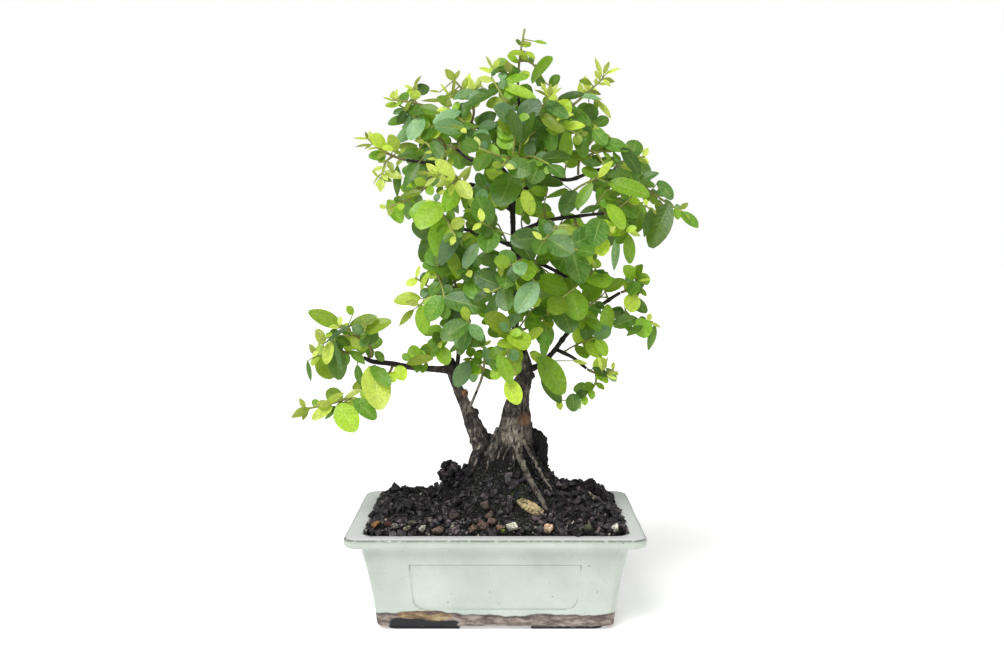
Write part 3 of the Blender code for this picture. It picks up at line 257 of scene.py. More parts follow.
wood = {
    "main": (10, [(8.5, 1, 62, 19), (9, 0.5, 76, 18.2), (9.8, 0, 86, 15.6), (10.6, 0, 96, 12.8),
        (11.4, 0, 106, 10.8), (12.2, 0, 115, 9.2), (12.8, 0, 123, 7.5), (14.6, 0, 132, 6.1),
        (17.4, 0, 141, 4.9), (17.8, 0, 147, 4.2), (15.4, 0, 156, 3.3), (12.1, 0, 168, 2.6),
        (10.9, 0, 197, 1.9), (10.5, 0, 222, 1.8), (10.3, 0, 242, 1.6), (11.4, 0, 268, 1.4),
        (14.3, 0, 292, 1.1), (13.4, 0, 304, 0.9)]),
    "main_stub": (5, [(16, 0, 138, 3.4), (20.5, -0.6, 140.2, 2.2), (23.4, -1, 141.2, 1.6)]),
    "left": (8, [(-1, 0.5, 72, 10.5), (-4, 0, 86, 8.6), (-7, 0, 96, 6.9), (-10.6, 0, 105, 5.8),
        (-14, 0, 113, 4.9), (-18.6, 0, 124, 3.6), (-22.6, 0, 133, 3.2), (-25.4, 0, 141, 3.2),
        (-27, 0, 147.4, 3.6), (-27.6, 0, 151.2, 2.4)]),
    "left_scar": (5, [(-19, 0, 129.5, 2.6), (-18.6, -2.4, 130.8, 2.4), (-18.3, -4.2, 131.4, 2)]),
    "left_knot": (5, [(-15, 0, 117, 3.2), (-10.6, -1.2, 119.6, 2)]),
    "left_crown": (5, [(-26.5, 0, 146, 3), (-30.4, -1.6, 152.6, 2.1), (-31.6, -2, 155.6, 1.5)]),
    "root_front": (5, [(9, -4, 109, 3.8), (11.6, -10.4, 102, 2.6), (15, -16.4, 92.4, 2),
        (20.4, -22, 81.8, 1.9), (27.6, -28.4, 70.2, 1.7), (31, -31, 62, 1.4)]),
    "root_right_front": (5, [(13, -2, 111, 4.2), (19.6, -8.4, 98, 3.6), (25, -13, 86, 2.8),
        (30.4, -16.6, 76.6, 2.1), (36, -20, 66, 1.5)]),
    "root_middle": (5, [(8, -5, 107, 4), (9.6, -12.2, 97.6, 3.2), (9.4, -16.4, 89, 2.2),
        (8.4, -19.4, 80, 1.6)]),
    "root_left_front": (5, [(3.5, -4, 109, 4), (-0.6, -9.4, 98.6, 3.8), (-3.4, -13.2, 89, 3.2),
        (-6, -17, 79, 2.2)]),
    "root_left": (5, [(-7, -1, 100, 5.2), (-11.6, -4.6, 90, 4.4), (-16, -8.6, 79, 3.2), (-21, -13, 69, 1.9)]),
    "root_right": (6, [(14, 3, 106, 4.4), (21.4, 5.4, 103, 5), (25.8, 6.4, 100, 5), (26.2, 6.8, 91, 4.8),
        (28.6, 9, 81, 4.2), (34, 13, 69, 2.8)]),
    "root_back": (5, [(9, 5, 107, 4.4), (10, 14.6, 95, 4.4), (8.4, 20.4, 82, 3.6), (4, 27, 69, 2.1)]),
    "root_left_back": (5, [(-3, 3, 103, 4), (-8.6, 10.2, 90, 4), (-13, 16, 79, 3), (-20, 22, 68, 1.9)]),
    "low_left": (5, [(-25.5, 0, 144, 2.6), (-37, -3, 145.1, 2), (-51, -8, 146.9, 1.8), (-62, -12, 149.5, 1.6),
        (-72, -15, 151, 1.5), (-77, -16.4, 153.6, 1.2)]),
    "left_up": (4, [(-24.4, 0, 138, 1.8), (-22, -3, 156, 1.3), (-24, -6, 172, 1.1)]),
    "left_hang": (4, [(-16, -1, 121.5, 1.2), (-13.4, -6.6, 127, 0.9), (-9, -10.6, 138, 0.8)]),
    "low_right": (5, [(17, 0, 144, 2.4), (25, 0, 146.5, 1.9), (33.6, -2, 154.3, 1.7), (40.7, -4, 164.2, 1.6),
        (47.7, -5, 172.2, 1.5), (57.9, -6, 180.2, 1.3), (68, -6, 187.3, 1.2), (73.4, -6, 190.7, 1)]),
    "low_right_under": (4, [(35.5, -2.5, 157, 1.4), (46, -5, 152, 1.1), (54, -6, 145.6, 0.9)]),
    "left_middle": (4, [(10.8, 0, 191, 1.5), (-8.3, -6, 192, 1.2), (-20.2, -10, 191.8, 1.1),
        (-30, -14, 197, 0.9)]),
    "left_front": (4, [(10.6, 0, 218, 1.5), (-5, -14, 224, 1.2), (-20, -24, 228.6, 1)]),
    "left_upper": (4, [(10.4, 0, 238, 1.5), (-6, -1, 252, 1.3), (-20, -5, 255, 1.2), (-35, -4, 265, 1.1),
        (-52, -7, 268, 0.9)]),
    "left_top": (4, [(11.4, 0, 270, 1.4), (-4, -2, 283, 1.1), (-22, -4, 293, 1), (-38, -5, 298.4, 0.8)]),
    "front_top": (4, [(10.6, 0, 248, 1.4), (9.6, -18, 262, 1.1), (9, -34, 266, 0.9)]),
    "right_top": (4, [(11.6, 0, 271, 1.4), (27, 1, 286, 1.1), (44, 2, 299.4, 0.9)]),
    "right_upper": (4, [(10.5, 0, 246, 1.6), (28, 3, 258, 1.3), (44, 1, 257, 1.2), (63, 4, 263, 1.1),
        (82, 2, 256, 0.9)]),
    "right_middle": (4, [(10.6, 0, 225, 1.5), (30.1, -8, 232.8, 1.3), (48.9, -15, 235.6, 1.1),
        (62, -20, 237, 0.9)]),
    "right_bent": (4, [(10.6, 0, 214, 1.4), (29.4, -6, 206.4, 1.2), (42.6, -12, 199.6, 1)]),
    "front_middle": (4, [(10.8, 0, 206, 1.4), (19, -18, 216, 1.2), (20, -32, 213, 1), (24, -42, 217, 0.9)]),
    "front_low": (4, [(13.4, 0, 163, 1.6), (11.6, -20, 168, 1.1), (10.6, -36, 171, 0.9)]),
    "back_low": (4, [(12, 0, 172, 1.6), (18, 17, 183, 1.3), (15, 32, 184, 1.1), (20, 47, 189, 0.9)]),
    "back_left": (4, [(11, 0, 200, 1.5), (-3, 14, 211, 1.3), (-15, 31, 211, 1.1), (-28, 41, 217, 0.9)]),
    "back_right": (4, [(10.6, 0, 210, 1.5), (24, 17, 222, 1.3), (41, 25, 222, 1.1), (54, 37, 227, 0.9)]),
    "back_middle": (4, [(10.4, 0, 232, 1.5), (8, 17, 245, 1.3), (1, 34, 243, 1.1), (3, 50, 249, 0.9)]),
    "back_upper": (4, [(10.8, 0, 256, 1.4), (-3, 12, 270, 1.2), (-15, 28, 270, 1), (-24, 36, 277, 0.9)]),
    "back_top": (4, [(11.2, 0, 264, 1.4), (20, 14, 281, 1.1), (33, 35, 286, 0.9)]),
}

# for each spray its branch, how far along it, leaf length and tone, then for each shoot its tip, pairs of
# leaves and, where it isn't 1, the scale of its leaves
sprays = {
    "low_left_up": ("low_left", 0.94, 22, "bright", (-90, -27, 173, 0), (-74, -30, 171, 0),
        (-98, -29, 166, 0)),
    "low_left_tip": ("low_left", 1, 17, "mixed", (-104, -24, 155, 0), (-92, -8, 160, 1)),
    "low_left_down": ("low_left", 0.86, 17, "yellow", (-110, -30, 125, 0), (-93, -28, 122, 0)),
    "low_left_under": ("low_left", 0.68, 19, "yellow", (-72, -24, 143, 0)),
    "low_left_inner": ("low_left", 0.3, 14, "yellow", (-50, -12, 151, 0), (-46, 6, 154, 1)),
    "left_crown": ("left_crown", 1, 15, "bright", (-33, -9, 162, 0), (-32, 8, 166, 1)),
    "left_shoot": ("left_up", 1, 17, "yellow", (-47, -12, 200, 0), (-28, 6, 190, 1), (-44, -16, 184, 0)),
    "left_rosette": ("left_up", 0.72, 19, "deep", (-15, -42, 178, 1, 0.9), (-30, -28, 187, 0)),
    "left_hang": ("left_hang", 1, 18, "blue", (-7, -16, 160, 0), (-15, -13, 153, 0)),
    "left_middle_tip": ("left_middle", 1, 16, "mixed", (-32, -22, 212, 1), (-28, -30, 186, 1)),
    "left_middle_front": ("left_middle", 0.6, 19, "mixed", (-16, -34, 206, 1), (-20, -22, 222, 0)),
    "left_middle_back": ("left_middle", 0.8, 17, "mixed", (-28, 10, 204, 2)),
    "left_front_tip": ("left_front", 1, 23, "bright", (-34, -28, 243, 1, 0.8), (-22, -42, 224, 0, 0.9)),
    "left_front_inner": ("left_front", 0.5, 20, "mixed", (-8, -44, 232, 1, 0.9), (-14, -20, 240, 0)),
    "left_upper_tip": ("left_upper", 1, 13, "young", (-72, -7, 278, 0), (-66, -11, 257, 1, 0.9),
        (-58, 4, 276, 1)),
    "left_upper_hang": ("left_upper", 0.76, 17, "mixed", (-62, -18, 240, 0), (-50, 2, 250, 1)),
    "left_upper_rise": ("left_upper", 0.7, 16, "blue", (-56, -2, 300, 0), (-50, 10, 290, 1)),
    "left_upper_front": ("left_upper", 0.5, 15, "young", (-32, -46, 258, 2), (-40, -18, 278, 0),
        (-27, -22, 250, 0)),
    "left_upper_back": ("left_upper", 0.62, 18, "mixed", (-58, 24, 272, 2)),
    "left_top_tip": ("left_top", 1, 13, "yellow", (-60, -5, 303, 0), (-48, 0, 310, 0, 0.9),
        (-44, -12, 290, 0)),
    "left_top_rise": ("left_top", 0.56, 12, "young", (-24, -6, 314, 1), (-10, -12, 310, 0)),
    "left_top_front": ("left_top", 0.42, 18, "blue", (-20, -38, 284, 1), (-27, -16, 297, 0)),
    "front_top_tip": ("front_top", 1, 20, "mixed", (4, -58, 262, 1, 0.8), (-9, -50, 272, 1, 0.8)),
    "front_top_side": ("front_top", 0.55, 18, "deep", (14, -22, 276, 0), (30, -36, 264, 1)),
    "crown_tip": ("main", 1, 13, "bright", (17, 0, 344, 0), (4, -5, 319, 0), (29, 4, 314, 0)),
    "crown_front": ("main", 0.93, 18, "blue", (12, -36, 290, 1), (-2, -15, 314, 0), (36, -10, 302, 0)),
    "crown_back": ("main", 0.95, 18, "mixed", (8, 28, 308, 2)),
    "right_top_tip": ("right_top", 1, 12, "young", (63, 2, 316, 0), (60, 12, 304, 1, 1.2)),
    "right_top_front": ("right_top", 0.6, 16, "yellow", (38, -26, 292, 1, 0.8), (50, -12, 281, 0)),
    "right_top_back": ("right_top", 0.7, 18, "deep", (56, 32, 297, 2)),
    "right_upper_tip": ("right_upper", 1, 19, "deep", (98, -2, 241, 0), (110, -2, 238, 0)),
    "right_upper_rise": ("right_upper", 0.82, 17, "deep", (89, 10, 271, 1)),
    "right_upper_middle": ("right_upper", 0.55, 18, "mixed", (61, -6, 284, 1, 0.9), (75, -9, 273, 0),
        (64, -15, 262, 0)),
    "right_upper_back": ("right_upper", 0.74, 19, "mixed", (82, 34, 256, 2)),
    "right_middle_tip": ("right_middle", 1, 22, "bright", (78, -24, 247, 0), (76, -20, 226, 0),
        (88, -11, 241, 0)),
    "right_middle_front": ("right_middle", 0.7, 17, "yellow", (64, -40, 226, 1)),
    "right_middle_rise": ("right_middle", 0.56, 16, "bright", (57, -20, 257, 0), (44, 8, 250, 1)),
    "front_middle_tip": ("front_middle", 1, 22, "deep", (34, -44, 230, 0), (46, -48, 216, 1, 0.9),
        (26, -60, 222, 1, 0.8)),
    "front_middle_side": ("front_middle", 0.5, 19, "deep", (19, -46, 203, 0), (2, -46, 210, 1, 0.9),
        (-2, -42, 193, 1, 0.9)),
    "right_bent_tip": ("right_bent", 1, 21, "bright", (58, -20, 205, 1, 0.9), (38, -36, 190, 1, 0.9)),
    "low_right_tip": ("low_right", 1, 13, "bright", (84, -8, 189, 0), (84, -4, 202, 1, 0.8)),
    "low_right_side": ("low_right", 0.78, 13, "deep", (92, -9, 174, 0), (78, 6, 178, 1)),
    "low_right_middle": ("low_right", 0.6, 17, "bright", (62, -13, 189, 0), (52, -18, 176, 1, 0.8)),
    "low_right_inner": ("low_right", 0.2, 23, "bright", (28, -22, 152, 0)),
    "low_right_under": ("low_right_under", 1, 16, "deep", (70, -8, 145, 0), (48, -12, 128, 0)),
    "front_low_tip": ("front_low", 1, 18, "yellow", (8, -50, 172, 1, 0.9), (6, -44, 150, 0, 0.9)),
    "front_low_side": ("front_low", 0.55, 18, "deep", (30, -32, 180, 1)),
    "back_low_tip": ("back_low", 1, 19, "deep", (24, 66, 192, 2), (40, 52, 190, 1)),
    "back_left_tip": ("back_left", 1, 19, "mixed", (-46, 52, 222, 2), (-24, 61, 216, 1)),
    "back_right_tip": ("back_right", 1, 20, "deep", (74, 44, 230, 2), (56, 58, 222, 1)),
    "back_middle_tip": ("back_middle", 1, 20, "mixed", (0, 66, 252, 2), (22, 62, 256, 1)),
    "back_upper_tip": ("back_upper", 1, 18, "mixed", (-44, 44, 282, 2), (-22, 54, 282, 1)),
    "back_top_tip": ("back_top", 1, 17, "bright", (46, 48, 294, 2), (26, 54, 290, 1)),
}

# leaves that show from the front: foot, point, width and tone; each hangs by a stalk from the nearest twig.
# Another script turned these rows and the next table's into millimetres, from points read off the photo
# by eye
shownLeaves = [
    # top
    (15, 0, 320, 1, -6, 321, 6, "deep"), (21, 2, 314, 30, -6, 326, 13, "bright"),
    (19, -4, 317, 6, -12, 313, 8, "bright"), (4, -14, 310, 23, -20, 303, 8, "bright"),
    (2, -16, 308, -18, -24, 297, 7, "mixed"), (-13, -12, 308, -24, -18, 302, 6, "blue"),
    (36, -8, 303, 50, -14, 306, 7, "deep"), (28, -14, 301, 40, -22, 291, 8, "deep"),
    (32, -8, 302, 45, -14, 295, 7, "deep"), (55, 6, 302, 57, 2, 292, 10, "mixed"),
    (45, 0, 299, 55, -6, 289, 7, "mixed"), (26, -22, 293, 38, -30, 283, 9, "yellow"),
    (38, -20, 286, 50, -26, 287, 7, "yellow"), (8, -14, 290, -4, -22, 281, 11, "deep"),
    (14, -20, 276, 9, -28, 293, 9, "mixed"), (15, -24, 276, 20, -32, 293, 7, "mixed"),
    (6, -18, 269, 3, -22, 277, 7, "deep"), (32, -16, 285, 32, -20, 272, 8, "mixed"),
    # right side
    (41, -14, 284, 40, -18, 266, 8, "bright"), (47, -10, 283, 52, -14, 269, 9, "mixed"),
    (57, -8, 285, 64, -12, 277, 9, "mixed"), (60, -6, 279, 77, -12, 275, 10, "mixed"),
    (73, -10, 275, 84, -16, 260, 9, "deep"), (61, -14, 265, 50, -18, 267, 6, "deep"),
    (61, -8, 269, 74, -12, 266, 6, "deep"), (59, -16, 258, 50, -20, 263, 8, "bright"),
    (63, -12, 259, 79, -14, 261, 7, "mixed"), (64, -29, 254, 86, -36, 249, 13, "bright"),
    (84, -6, 257, 95, -8, 261, 6, "deep"), (95, -4, 256, 104, -6, 246, 8, "deep"),
    (69, -8, 246, 80, -12, 231, 15, "deep"), (86, 2, 243, 82, -2, 226, 11, "deep"),
    (101, -8, 243, 90, -16, 218, 14, "deep"), (90, -16, 240, 86, -20, 224, 6, "mixed"),
    (64, -26, 242, 73, -32, 229, 10, "bright"), (76, -22, 225, 77, -26, 209, 7, "bright"),
    (71, -9, 224, 69, -11, 204, 5, "blue"), (108.6, -2, 238, 119.4, -6, 230, 7, "mixed"),
    (55, -22, 254, 46, -28, 241, 7, "bright"), (39, -16, 254, 26, -20, 256, 8, "deep"),
    (46, -12, 250, 38, -18, 237, 11, "deep"), (60, -16, 241, 48, -20, 238, 5, "deep"),
    (59, -25, 234, 54, -32, 220, 14, "deep"), (39, -30, 231, 47, -34, 222, 5, "yellow"),
    (48, -30, 222, 54, -36, 209, 7, "yellow"), (32, -22, 225, 44, -34, 203, 17, "deep"),
    (34, -38, 230, 22, -44, 218, 11, "blue"), (51, -16, 209, 55, -18, 200, 7, "deep"),
    (51, -16, 187, 62, -24, 201, 12, "bright"), (64, -12, 192, 75, -14, 199, 8, "bright"),
    (78, -8, 190, 84, -10, 197, 8, "mixed"),
    # left side
    (-64, -6, 276, -72, -10, 282, 9, "yellow"), (-57, -6, 274, -61, -10, 282, 7, "yellow"),
    (-64, -6, 270, -73, -10, 271, 8, "mixed"), (-49, -2, 293, -62, -8, 290, 8, "mixed"),
    (-42, -12, 292, -49, -20, 280, 10, "blue"), (-44, -10, 298, -32, -14, 295, 8, "bright"),
    (-25, -12, 299, -33, -16, 303, 8, "bright"), (-20, -16, 295, -35, -22, 289, 8, "blue"),
    (-36, -20, 278, -30, -24, 268, 7, "deep"), (-57, -8, 265, -57, -12, 247, 5, "deep"),
    (-44, -14, 266, -53, -20, 252, 6, "deep"), (-55, -18, 246, -42, -22, 250, 6, "yellow"),
    (-62, -12, 245, -54, -16, 232, 9, "bright"), (-49, -14, 242, -42, -16, 225, 4, "deep"),
    (-31, -26, 243, -43, -34, 230, 15, "bright"), (-29, -24, 236, -34, -30, 214, 14, "bright"),
    (-28, -20, 249, -21, -22, 237, 6, "blue"), (-17, -22, 255, -18, -24, 241, 5, "bright"),
    (-18, -34, 233, -32, -38, 209, 10, "blue"), (-17, -20, 232, -4, -26, 224, 11, "deep"),
    (-14, -14, 237, -10, -18, 249, 9, "deep"), (5, -20, 222, -2, -24, 224, 8, "deep"),
    (10, -38, 259, 2, -46, 241, 18, "mixed"), (16, -30, 250, 21, -34, 236, 8, "yellow"),
    (12, -24, 224, 20, -30, 212, 13, "deep"), (1, -30, 213, 9, -36, 198, 7, "bright"),
    (-10, -30, 220, -18, -36, 207, 8, "blue"), (-25, -20, 220, -17, -24, 209, 8, "deep"),
    (-26, -30, 216, -20, -34, 201, 8, "bright"), (-44, -10, 193, -39, -12, 203, 6, "yellow"),
    (-44, -10, 188, -59, -14, 187, 10, "yellow"), (-48, -8, 181, -57, -10, 172, 5, "yellow"),
    (-43, -18, 184, -41, -22, 168, 9, "bright"), (-42, -16, 185, -29, -20, 188, 8, "bright"),
    # front, low down
    (-29, -30, 189, -5, -38, 184, 14, "deep"), (-15, -40, 176, -30, -46, 168, 13, "deep"),
    (-14, -42, 175, -7, -46, 167, 8, "blue"), (-15, -38, 174, -19, -40, 160, 8, "deep"),
    (1, -34, 192, -4, -38, 177, 7, "blue"), (23, -46, 199, 12, -54, 183, 12, "blue"),
    (14, -40, 181, 3, -44, 172, 7, "blue"), (18, -44, 165, 2, -52, 166, 8, "yellow"),
    (18, -42, 167, 26, -46, 173, 7, "yellow"), (29, -32, 171, 27, -36, 155, 6, "mixed"),
    (26, -24, 155, 39, -30, 134, 14, "bright"), (36, -28, 188, 43, -36, 170, 15, "deep"),
    (60, -10, 180, 50, -12, 169, 6, "mixed"), (66, -8, 184, 65, -12, 167, 9, "bright"),
    (82, -10, 176, 69, -14, 172, 10, "deep"), (78, -6, 188, 89, -10, 180, 8, "mixed"),
    (84, -8, 176, 88, -12, 165, 12, "bright"), (94, -8, 172, 90, -10, 157, 5, "deep"),
    (27, -14, 141, 39, -18, 128, 9, "deep"), (45, -14, 132, 46, -18, 122, 9, "deep"),
    (2, -46, 159, 9, -50, 143, 8, "bright"), (7, -44, 144, 13, -48, 131, 10, "yellow"),
    (-7, -20, 161, -1, -22, 147, 5, "blue"), (-16, -16, 151, -23, -20, 137, 10, "blue"),
    (-14, -9, 150, -13, -10, 138, 7, "blue"),
    # low branch on the left
    (-88, -24, 172, -106, -28, 182, 10, "bright"), (-84, -22, 173, -68, -26, 178, 8, "bright"),
    (-77, -24, 169, -60, -30, 176, 10, "bright"), (-94, -28, 164, -97, -32, 152, 7, "yellow"),
    (-92, -26, 160, -89, -32, 142, 11, "deep"), (-102, -18, 155, -95, -22, 142, 12, "bright"),
    (-84, -22, 158, -75, -24, 151, 6, "deep"), (-72, -20, 149, -65, -28, 127, 17, "yellow"),
    (-72, -33, 149, -60, -37, 140, 8, "mixed"), (-58, -10, 148, -53, -14, 141, 8, "bright"),
    (-52, -8, 150, -38, -12, 155, 8, "yellow"), (-33, -8, 159, -28, -12, 149, 9, "bright"),
    (-99, -28, 127, -87, -30, 135, 5, "yellow"), (-90, -30, 128, -80, -36, 114, 14, "bright"),
    (-81, -30, 131, -68, -34, 121, 10, "deep"), (-94, -28, 127, -104, -32, 121, 7, "yellow"),
    (-106, -30, 126, -116, -32, 122, 6, "yellow"),
]

# leaves too small for the solids, in the same form
smallLeaves = [
    (18, 0, 330, 8, -4, 330, 5, "yellow"), (18, 0, 331, 23, -4, 327, 4, "yellow"),
    (32, 8, 312, 37, 4, 318, 7, "deep"), (3, -14, 308, -4, -18, 311, 7, "bright"),
    (49, -6, 305, 60, -10, 304, 5, "blue"), (58, -31, 257, 65, -35, 266, 5, "yellow"),
    (74, -26, 227, 64, -30, 225, 5, "yellow"), (74, -26, 227, 80, -28, 229, 5, "yellow"),
    (83, -4, 199, 85, -6, 207, 7, "mixed"), (-46, -4, 303, -47, -6, 308, 7, "yellow"),
    (-56, -4, 300, -64, -6, 300, 5, "yellow"), (-53, -6, 296, -49, -8, 301, 5, "yellow"),
    (-45, -10, 272, -57, -12, 270, 4, "deep"), (-66, -8, 252, -67, -10, 258, 5, "yellow"),
    (15, -30, 212, 22, -34, 209, 5, "yellow"), (-28, -22, 201, -33, -24, 192, 5, "blue"),
    (86, -14, 172, 76, -16, 167, 5, "deep"), (57, -11, 147, 67, -14, 142, 5, "deep"),
    (47, -12, 129, 54, -14, 134, 6, "deep"), (-8, -12, 146, -1, -14, 141, 6, "deep"),
    (-82, -22, 179, -85, -24, 184, 5, "bright"), (-99, -24, 162, -102, -26, 171, 6, "yellow"),
    (-82, -30, 174, -98, -32, 164, 3, "blue"), (-91, -34, 165, -87, -36, 145, 3, "blue"),
    (-83, -26, 167, -77, -28, 159, 5, "yellow"), (-80, -22, 150, -78, -24, 138, 5, "blue"),
    (-108, -26, 153, -106, -28, 141, 3, "blue"), (-34, -10, 161, -38, -12, 152, 4, "mixed"),
    (-77, -26, 136, -87, -28, 132, 4, "yellow"), (22, 0, 337, 30, -3, 336, 3, "bright"),
    (21, 0, 336, 15, -3, 336, 2, "young"), (-1, -7, 318, -9, -10, 321, 4, "young"),
    (-1, -7, 320, 2, -10, 326, 4, "young"), (-2, -7, 321, -5, -10, 327, 2, "young"),
    (-4, -7, 315, -11, -10, 313, 4, "young"), (8, -10, 318, 7, -13, 323, 5, "young"),
    (30, -26, 302, 26, -29, 310, 3, "young"), (30, -26, 302, 31, -29, 309, 3, "young"),
    (30, -26, 302, 35, -29, 310, 3, "young"), (30, -26, 302, 37, -29, 307, 3, "young"),
    (30, -26, 302, 23, -29, 306, 3, "young"), (56, -4, 312, 49, -7, 314, 5, "yellow"),
    (62, 0, 317, 58, -3, 327, 3, "young"), (63, 0, 318, 66, -3, 325, 3, "young"),
    (64, 0, 318, 72, -3, 322, 3, "young"), (63, 0, 315, 67, -3, 311, 3, "young"),
    (84, -8, 198, 91, -11, 199, 2, "young"), (57, -8, 254, 68, -11, 255, 4, "mixed"),
    (-73, -8, 280, -82, -11, 281, 2, "young"), (-72, -8, 277, -81, -11, 276, 2, "young"),
    (-74, -8, 280, -75, -11, 284, 2, "young"), (-59, -10, 274, -65, -13, 275, 5, "yellow"),
    (-46, -4, 307, -46, -7, 313, 2, "young"), (-58, -4, 302, -57, -7, 309, 2, "young"),
    (-59, -4, 302, -65, -7, 304, 2, "young"), (-41, -6, 298, -47, -9, 300, 5, "deep"),
    (-25, -6, 304, -23, -9, 317, 2, "young"), (-27, -6, 305, -31, -9, 312, 2, "young"),
    (-32, -6, 307, -38, -9, 308, 2, "young"), (-29, -8, 302, -43, -11, 302, 3, "young"),
    (-16, -14, 300, -27, -17, 292, 6, "blue"), (-5, -14, 308, -17, -17, 302, 6, "blue"),
    (-36, -14, 276, -41, -17, 267, 5, "blue"), (-33, -26, 258, -45, -29, 261, 3, "young"),
    (-33, -26, 258, -40, -29, 252, 3, "young"), (-33, -26, 258, -30, -29, 270, 3, "young"),
    (-33, -26, 258, -23, -29, 253, 3, "young"), (-22, -26, 255, -14, -29, 264, 3, "young"),
    (-68, -10, 258, -71, -13, 262, 2, "young"), (-66, -10, 259, -63, -13, 265, 2, "young"),
    (-54, -12, 245, -61, -15, 242, 4, "yellow"), (-21, -24, 251, -23, -27, 240, 5, "yellow"),
    (-18, -24, 235, -27, -27, 230, 4, "yellow"), (65, -16, 143, 71, -19, 141, 2, "young"),
    (65, -16, 143, 71, -19, 146, 2, "young"), (62, -16, 145, 65, -19, 154, 2, "young"),
    (62, -16, 146, 60, -19, 154, 2, "young"), (45, -14, 152, 53, -17, 151, 3, "young"),
    (37, -14, 128, 38, -17, 123, 4, "yellow"), (-101, -30, 159, -104, -33, 156, 3, "young"),
    (-70, -16, 157, -65, -19, 152, 5, "deep"), (-75, -16, 161, -72, -19, 153, 5, "deep"),
    (-95, -30, 128, -102, -33, 129, 5, "young"), (-83, -26, 162, -90, -29, 167, 6, "deep"),
]

blade = {
    "large": [(0.18, 0.37), (0.5, 0.5), (0.83, 0.35)], "small": [(0.26, 0.46), (0.71, 0.44)],
    "slim": [(0.5, 0.5)],
    "largeFrom": 22.5, "slimBelow": 7.0, "thick": 0.6, "fold": 0.16, "droop": 0.1, "stalk": 0.6, "sunk": 0.9,
    # how far a leaf stays off others, the smallest ones nearer, and how much of its foot may stand in its own
    # spray
    "gap": 0.32, "smallGap": 0.05, "foot": 1.9,
    "width": {"deep": 0.72, "blue": 0.7, "mixed": 0.74, "bright": 0.78, "yellow": 0.78, "young": 0.5},
}
twig = {"sides": 3, "base": 1.0, "tip": 0.75, "sideLess": 0.12}


def woodTube(name):
    sides, rows = wood[name]
    return tube([Vector(row[:3]) for row in rows], [row[3] for row in rows], sides)


def plainBlade(base, along, normal, length, width, grow=0.0, root=None):
    # the solid's own folded leaf, used here to find where each leaf stands clear of the others
    slim = width < min(0.58 * length, blade["slimBelow"])
    outline = blade["slim"] if slim else blade["large"] if length >= blade["largeFrom"] else blade["small"]
    if root:
        outline = [(0.0, blade["stalk"] / width)] + outline
    across = normal.cross(along)
    half = blade["thick"] / 2 + grow

    def place(u, v, level):
        lift = blade["fold"] * abs(v) * width - blade["droop"] * length * u * u
        return (base + along * (u * (length + grow)) + across * (v * (width + 2 * grow))
                + normal * (lift + level))

    points = []
    for level in (half, -half):
        points.append(root + normal * level if root else place(0.0, 0.0, level))
        points += [place(u, -v, level) for u, v in outline] + [place(1.0, 0.0, level)]
        points += [place(u, v, level) for u, v in reversed(outline)]
    steps, count = len(outline), 2 * len(outline) + 2
    skin = [(0, 1, count - 1), (steps, steps + 1, steps + 2)]
    for k in range(1, steps):
        skin += [(k, k + 1, count - 1 - k), (k, count - 1 - k, count - k)]
    faces = skin + [(count + c, count + b, count + a) for a, b, c in skin]
    for k in range(count):
        after = (k + 1) % count
        faces.append((after, k, count + k, count + after))
    return points, faces


class Crowd:
    # what already stands, to keep new leaves clear of it
    def __init__(self):
        self.placed = []

    def tree(self, points, faces):
        points = [Vector(p) for p in points]
        middle = sum(points, Vector()) / len(points)
        reach = max((p - middle).length for p in points)
        flat = []
        for face in faces:
            flat += [(face[0], face[k], face[k + 1]) for k in range(1, len(face) - 1)]
        return middle, reach, BVHTree.FromPolygons(points, flat)

    def add(self, points, faces, owner):
        self.placed.append((*self.tree(points, faces), owner))

    def hits(self, points, faces, ignore=()):
        middle, reach, tree = self.tree(points, faces)
        for otherMiddle, otherReach, other, owner in self.placed:
            if owner in ignore or (middle - otherMiddle).length > reach + otherReach:
                continue
            if tree.overlap(other):
                return owner
        return None


def alongPath(path, share):
    runs = [(b - a).length for a, b in zip(path, path[1:])]
    at = share * sum(runs)
    for k, run in enumerate(runs):
        if at <= run or k == len(runs) - 1:
            part = min(at / run, 1.0)
            return path[k].lerp(path[k + 1], part), (path[k + 1] - path[k]).normalized(), k, part
        at -= run


def bend(start, out, tip, steps=3):
    reach = (tip - start).length
    knee = start + out * reach * 0.42
    return [start.lerp(knee, t).lerp(knee.lerp(tip, t), t) for t in (k / steps for k in range(steps + 1))]


def shootsOf(row):
    # the paths of a spray's shoots: the first from its branch, the others from the first
    branch, share, _, _, *tips = row
    rows = wood[branch][1]
    path = [Vector(r[:3]) for r in rows]
    at, direction, k, part = alongPath(path, share)
    radius = rows[k][3] + (rows[k + 1][3] - rows[k][3]) * part
    tip = Vector(tips[0][:3])
    if share == 1.0:
        out = direction
        start = at + out * (clearance + 0.05)
    else:
        aim = tip - at
        out = (aim - direction * aim.dot(direction)).normalized()
        start = at + out * (radius + clearance + 0.1)
    shoots = [bend(start, out, tip)]
    for n, row in enumerate(tips[1:]):
        tip = Vector(row[:3])
        at, direction, _, _ = alongPath(shoots[0], 0.34 + 0.2 * n)
        out = (direction + (tip - at).normalized()).normalized()
        shoots.append(bend(at, out, tip, 2))
    return shoots


def shootRadii(path, first):
    base = twig["base"] if first else twig["base"] - twig["sideLess"]
    return [base + (twig["tip"] - base) * k / (len(path) - 1) for k in range(len(path))]


def lightFrom(at, rng):
    # leaves turn their faces up, outwards and to the nearer long side of the pot
    out = Vector((at.x - 8.0, at.y, 0.0))
    out = out.normalized() if out.length > 1 else Vector((0, -1, 0))
    facing = Vector((0, -1 if at.y < 16 else 1, 0))
    return (Vector((0, 0, 0.62)) + out * 0.36 + facing * 0.8 + jolt(rng) * 0.4).normalized()


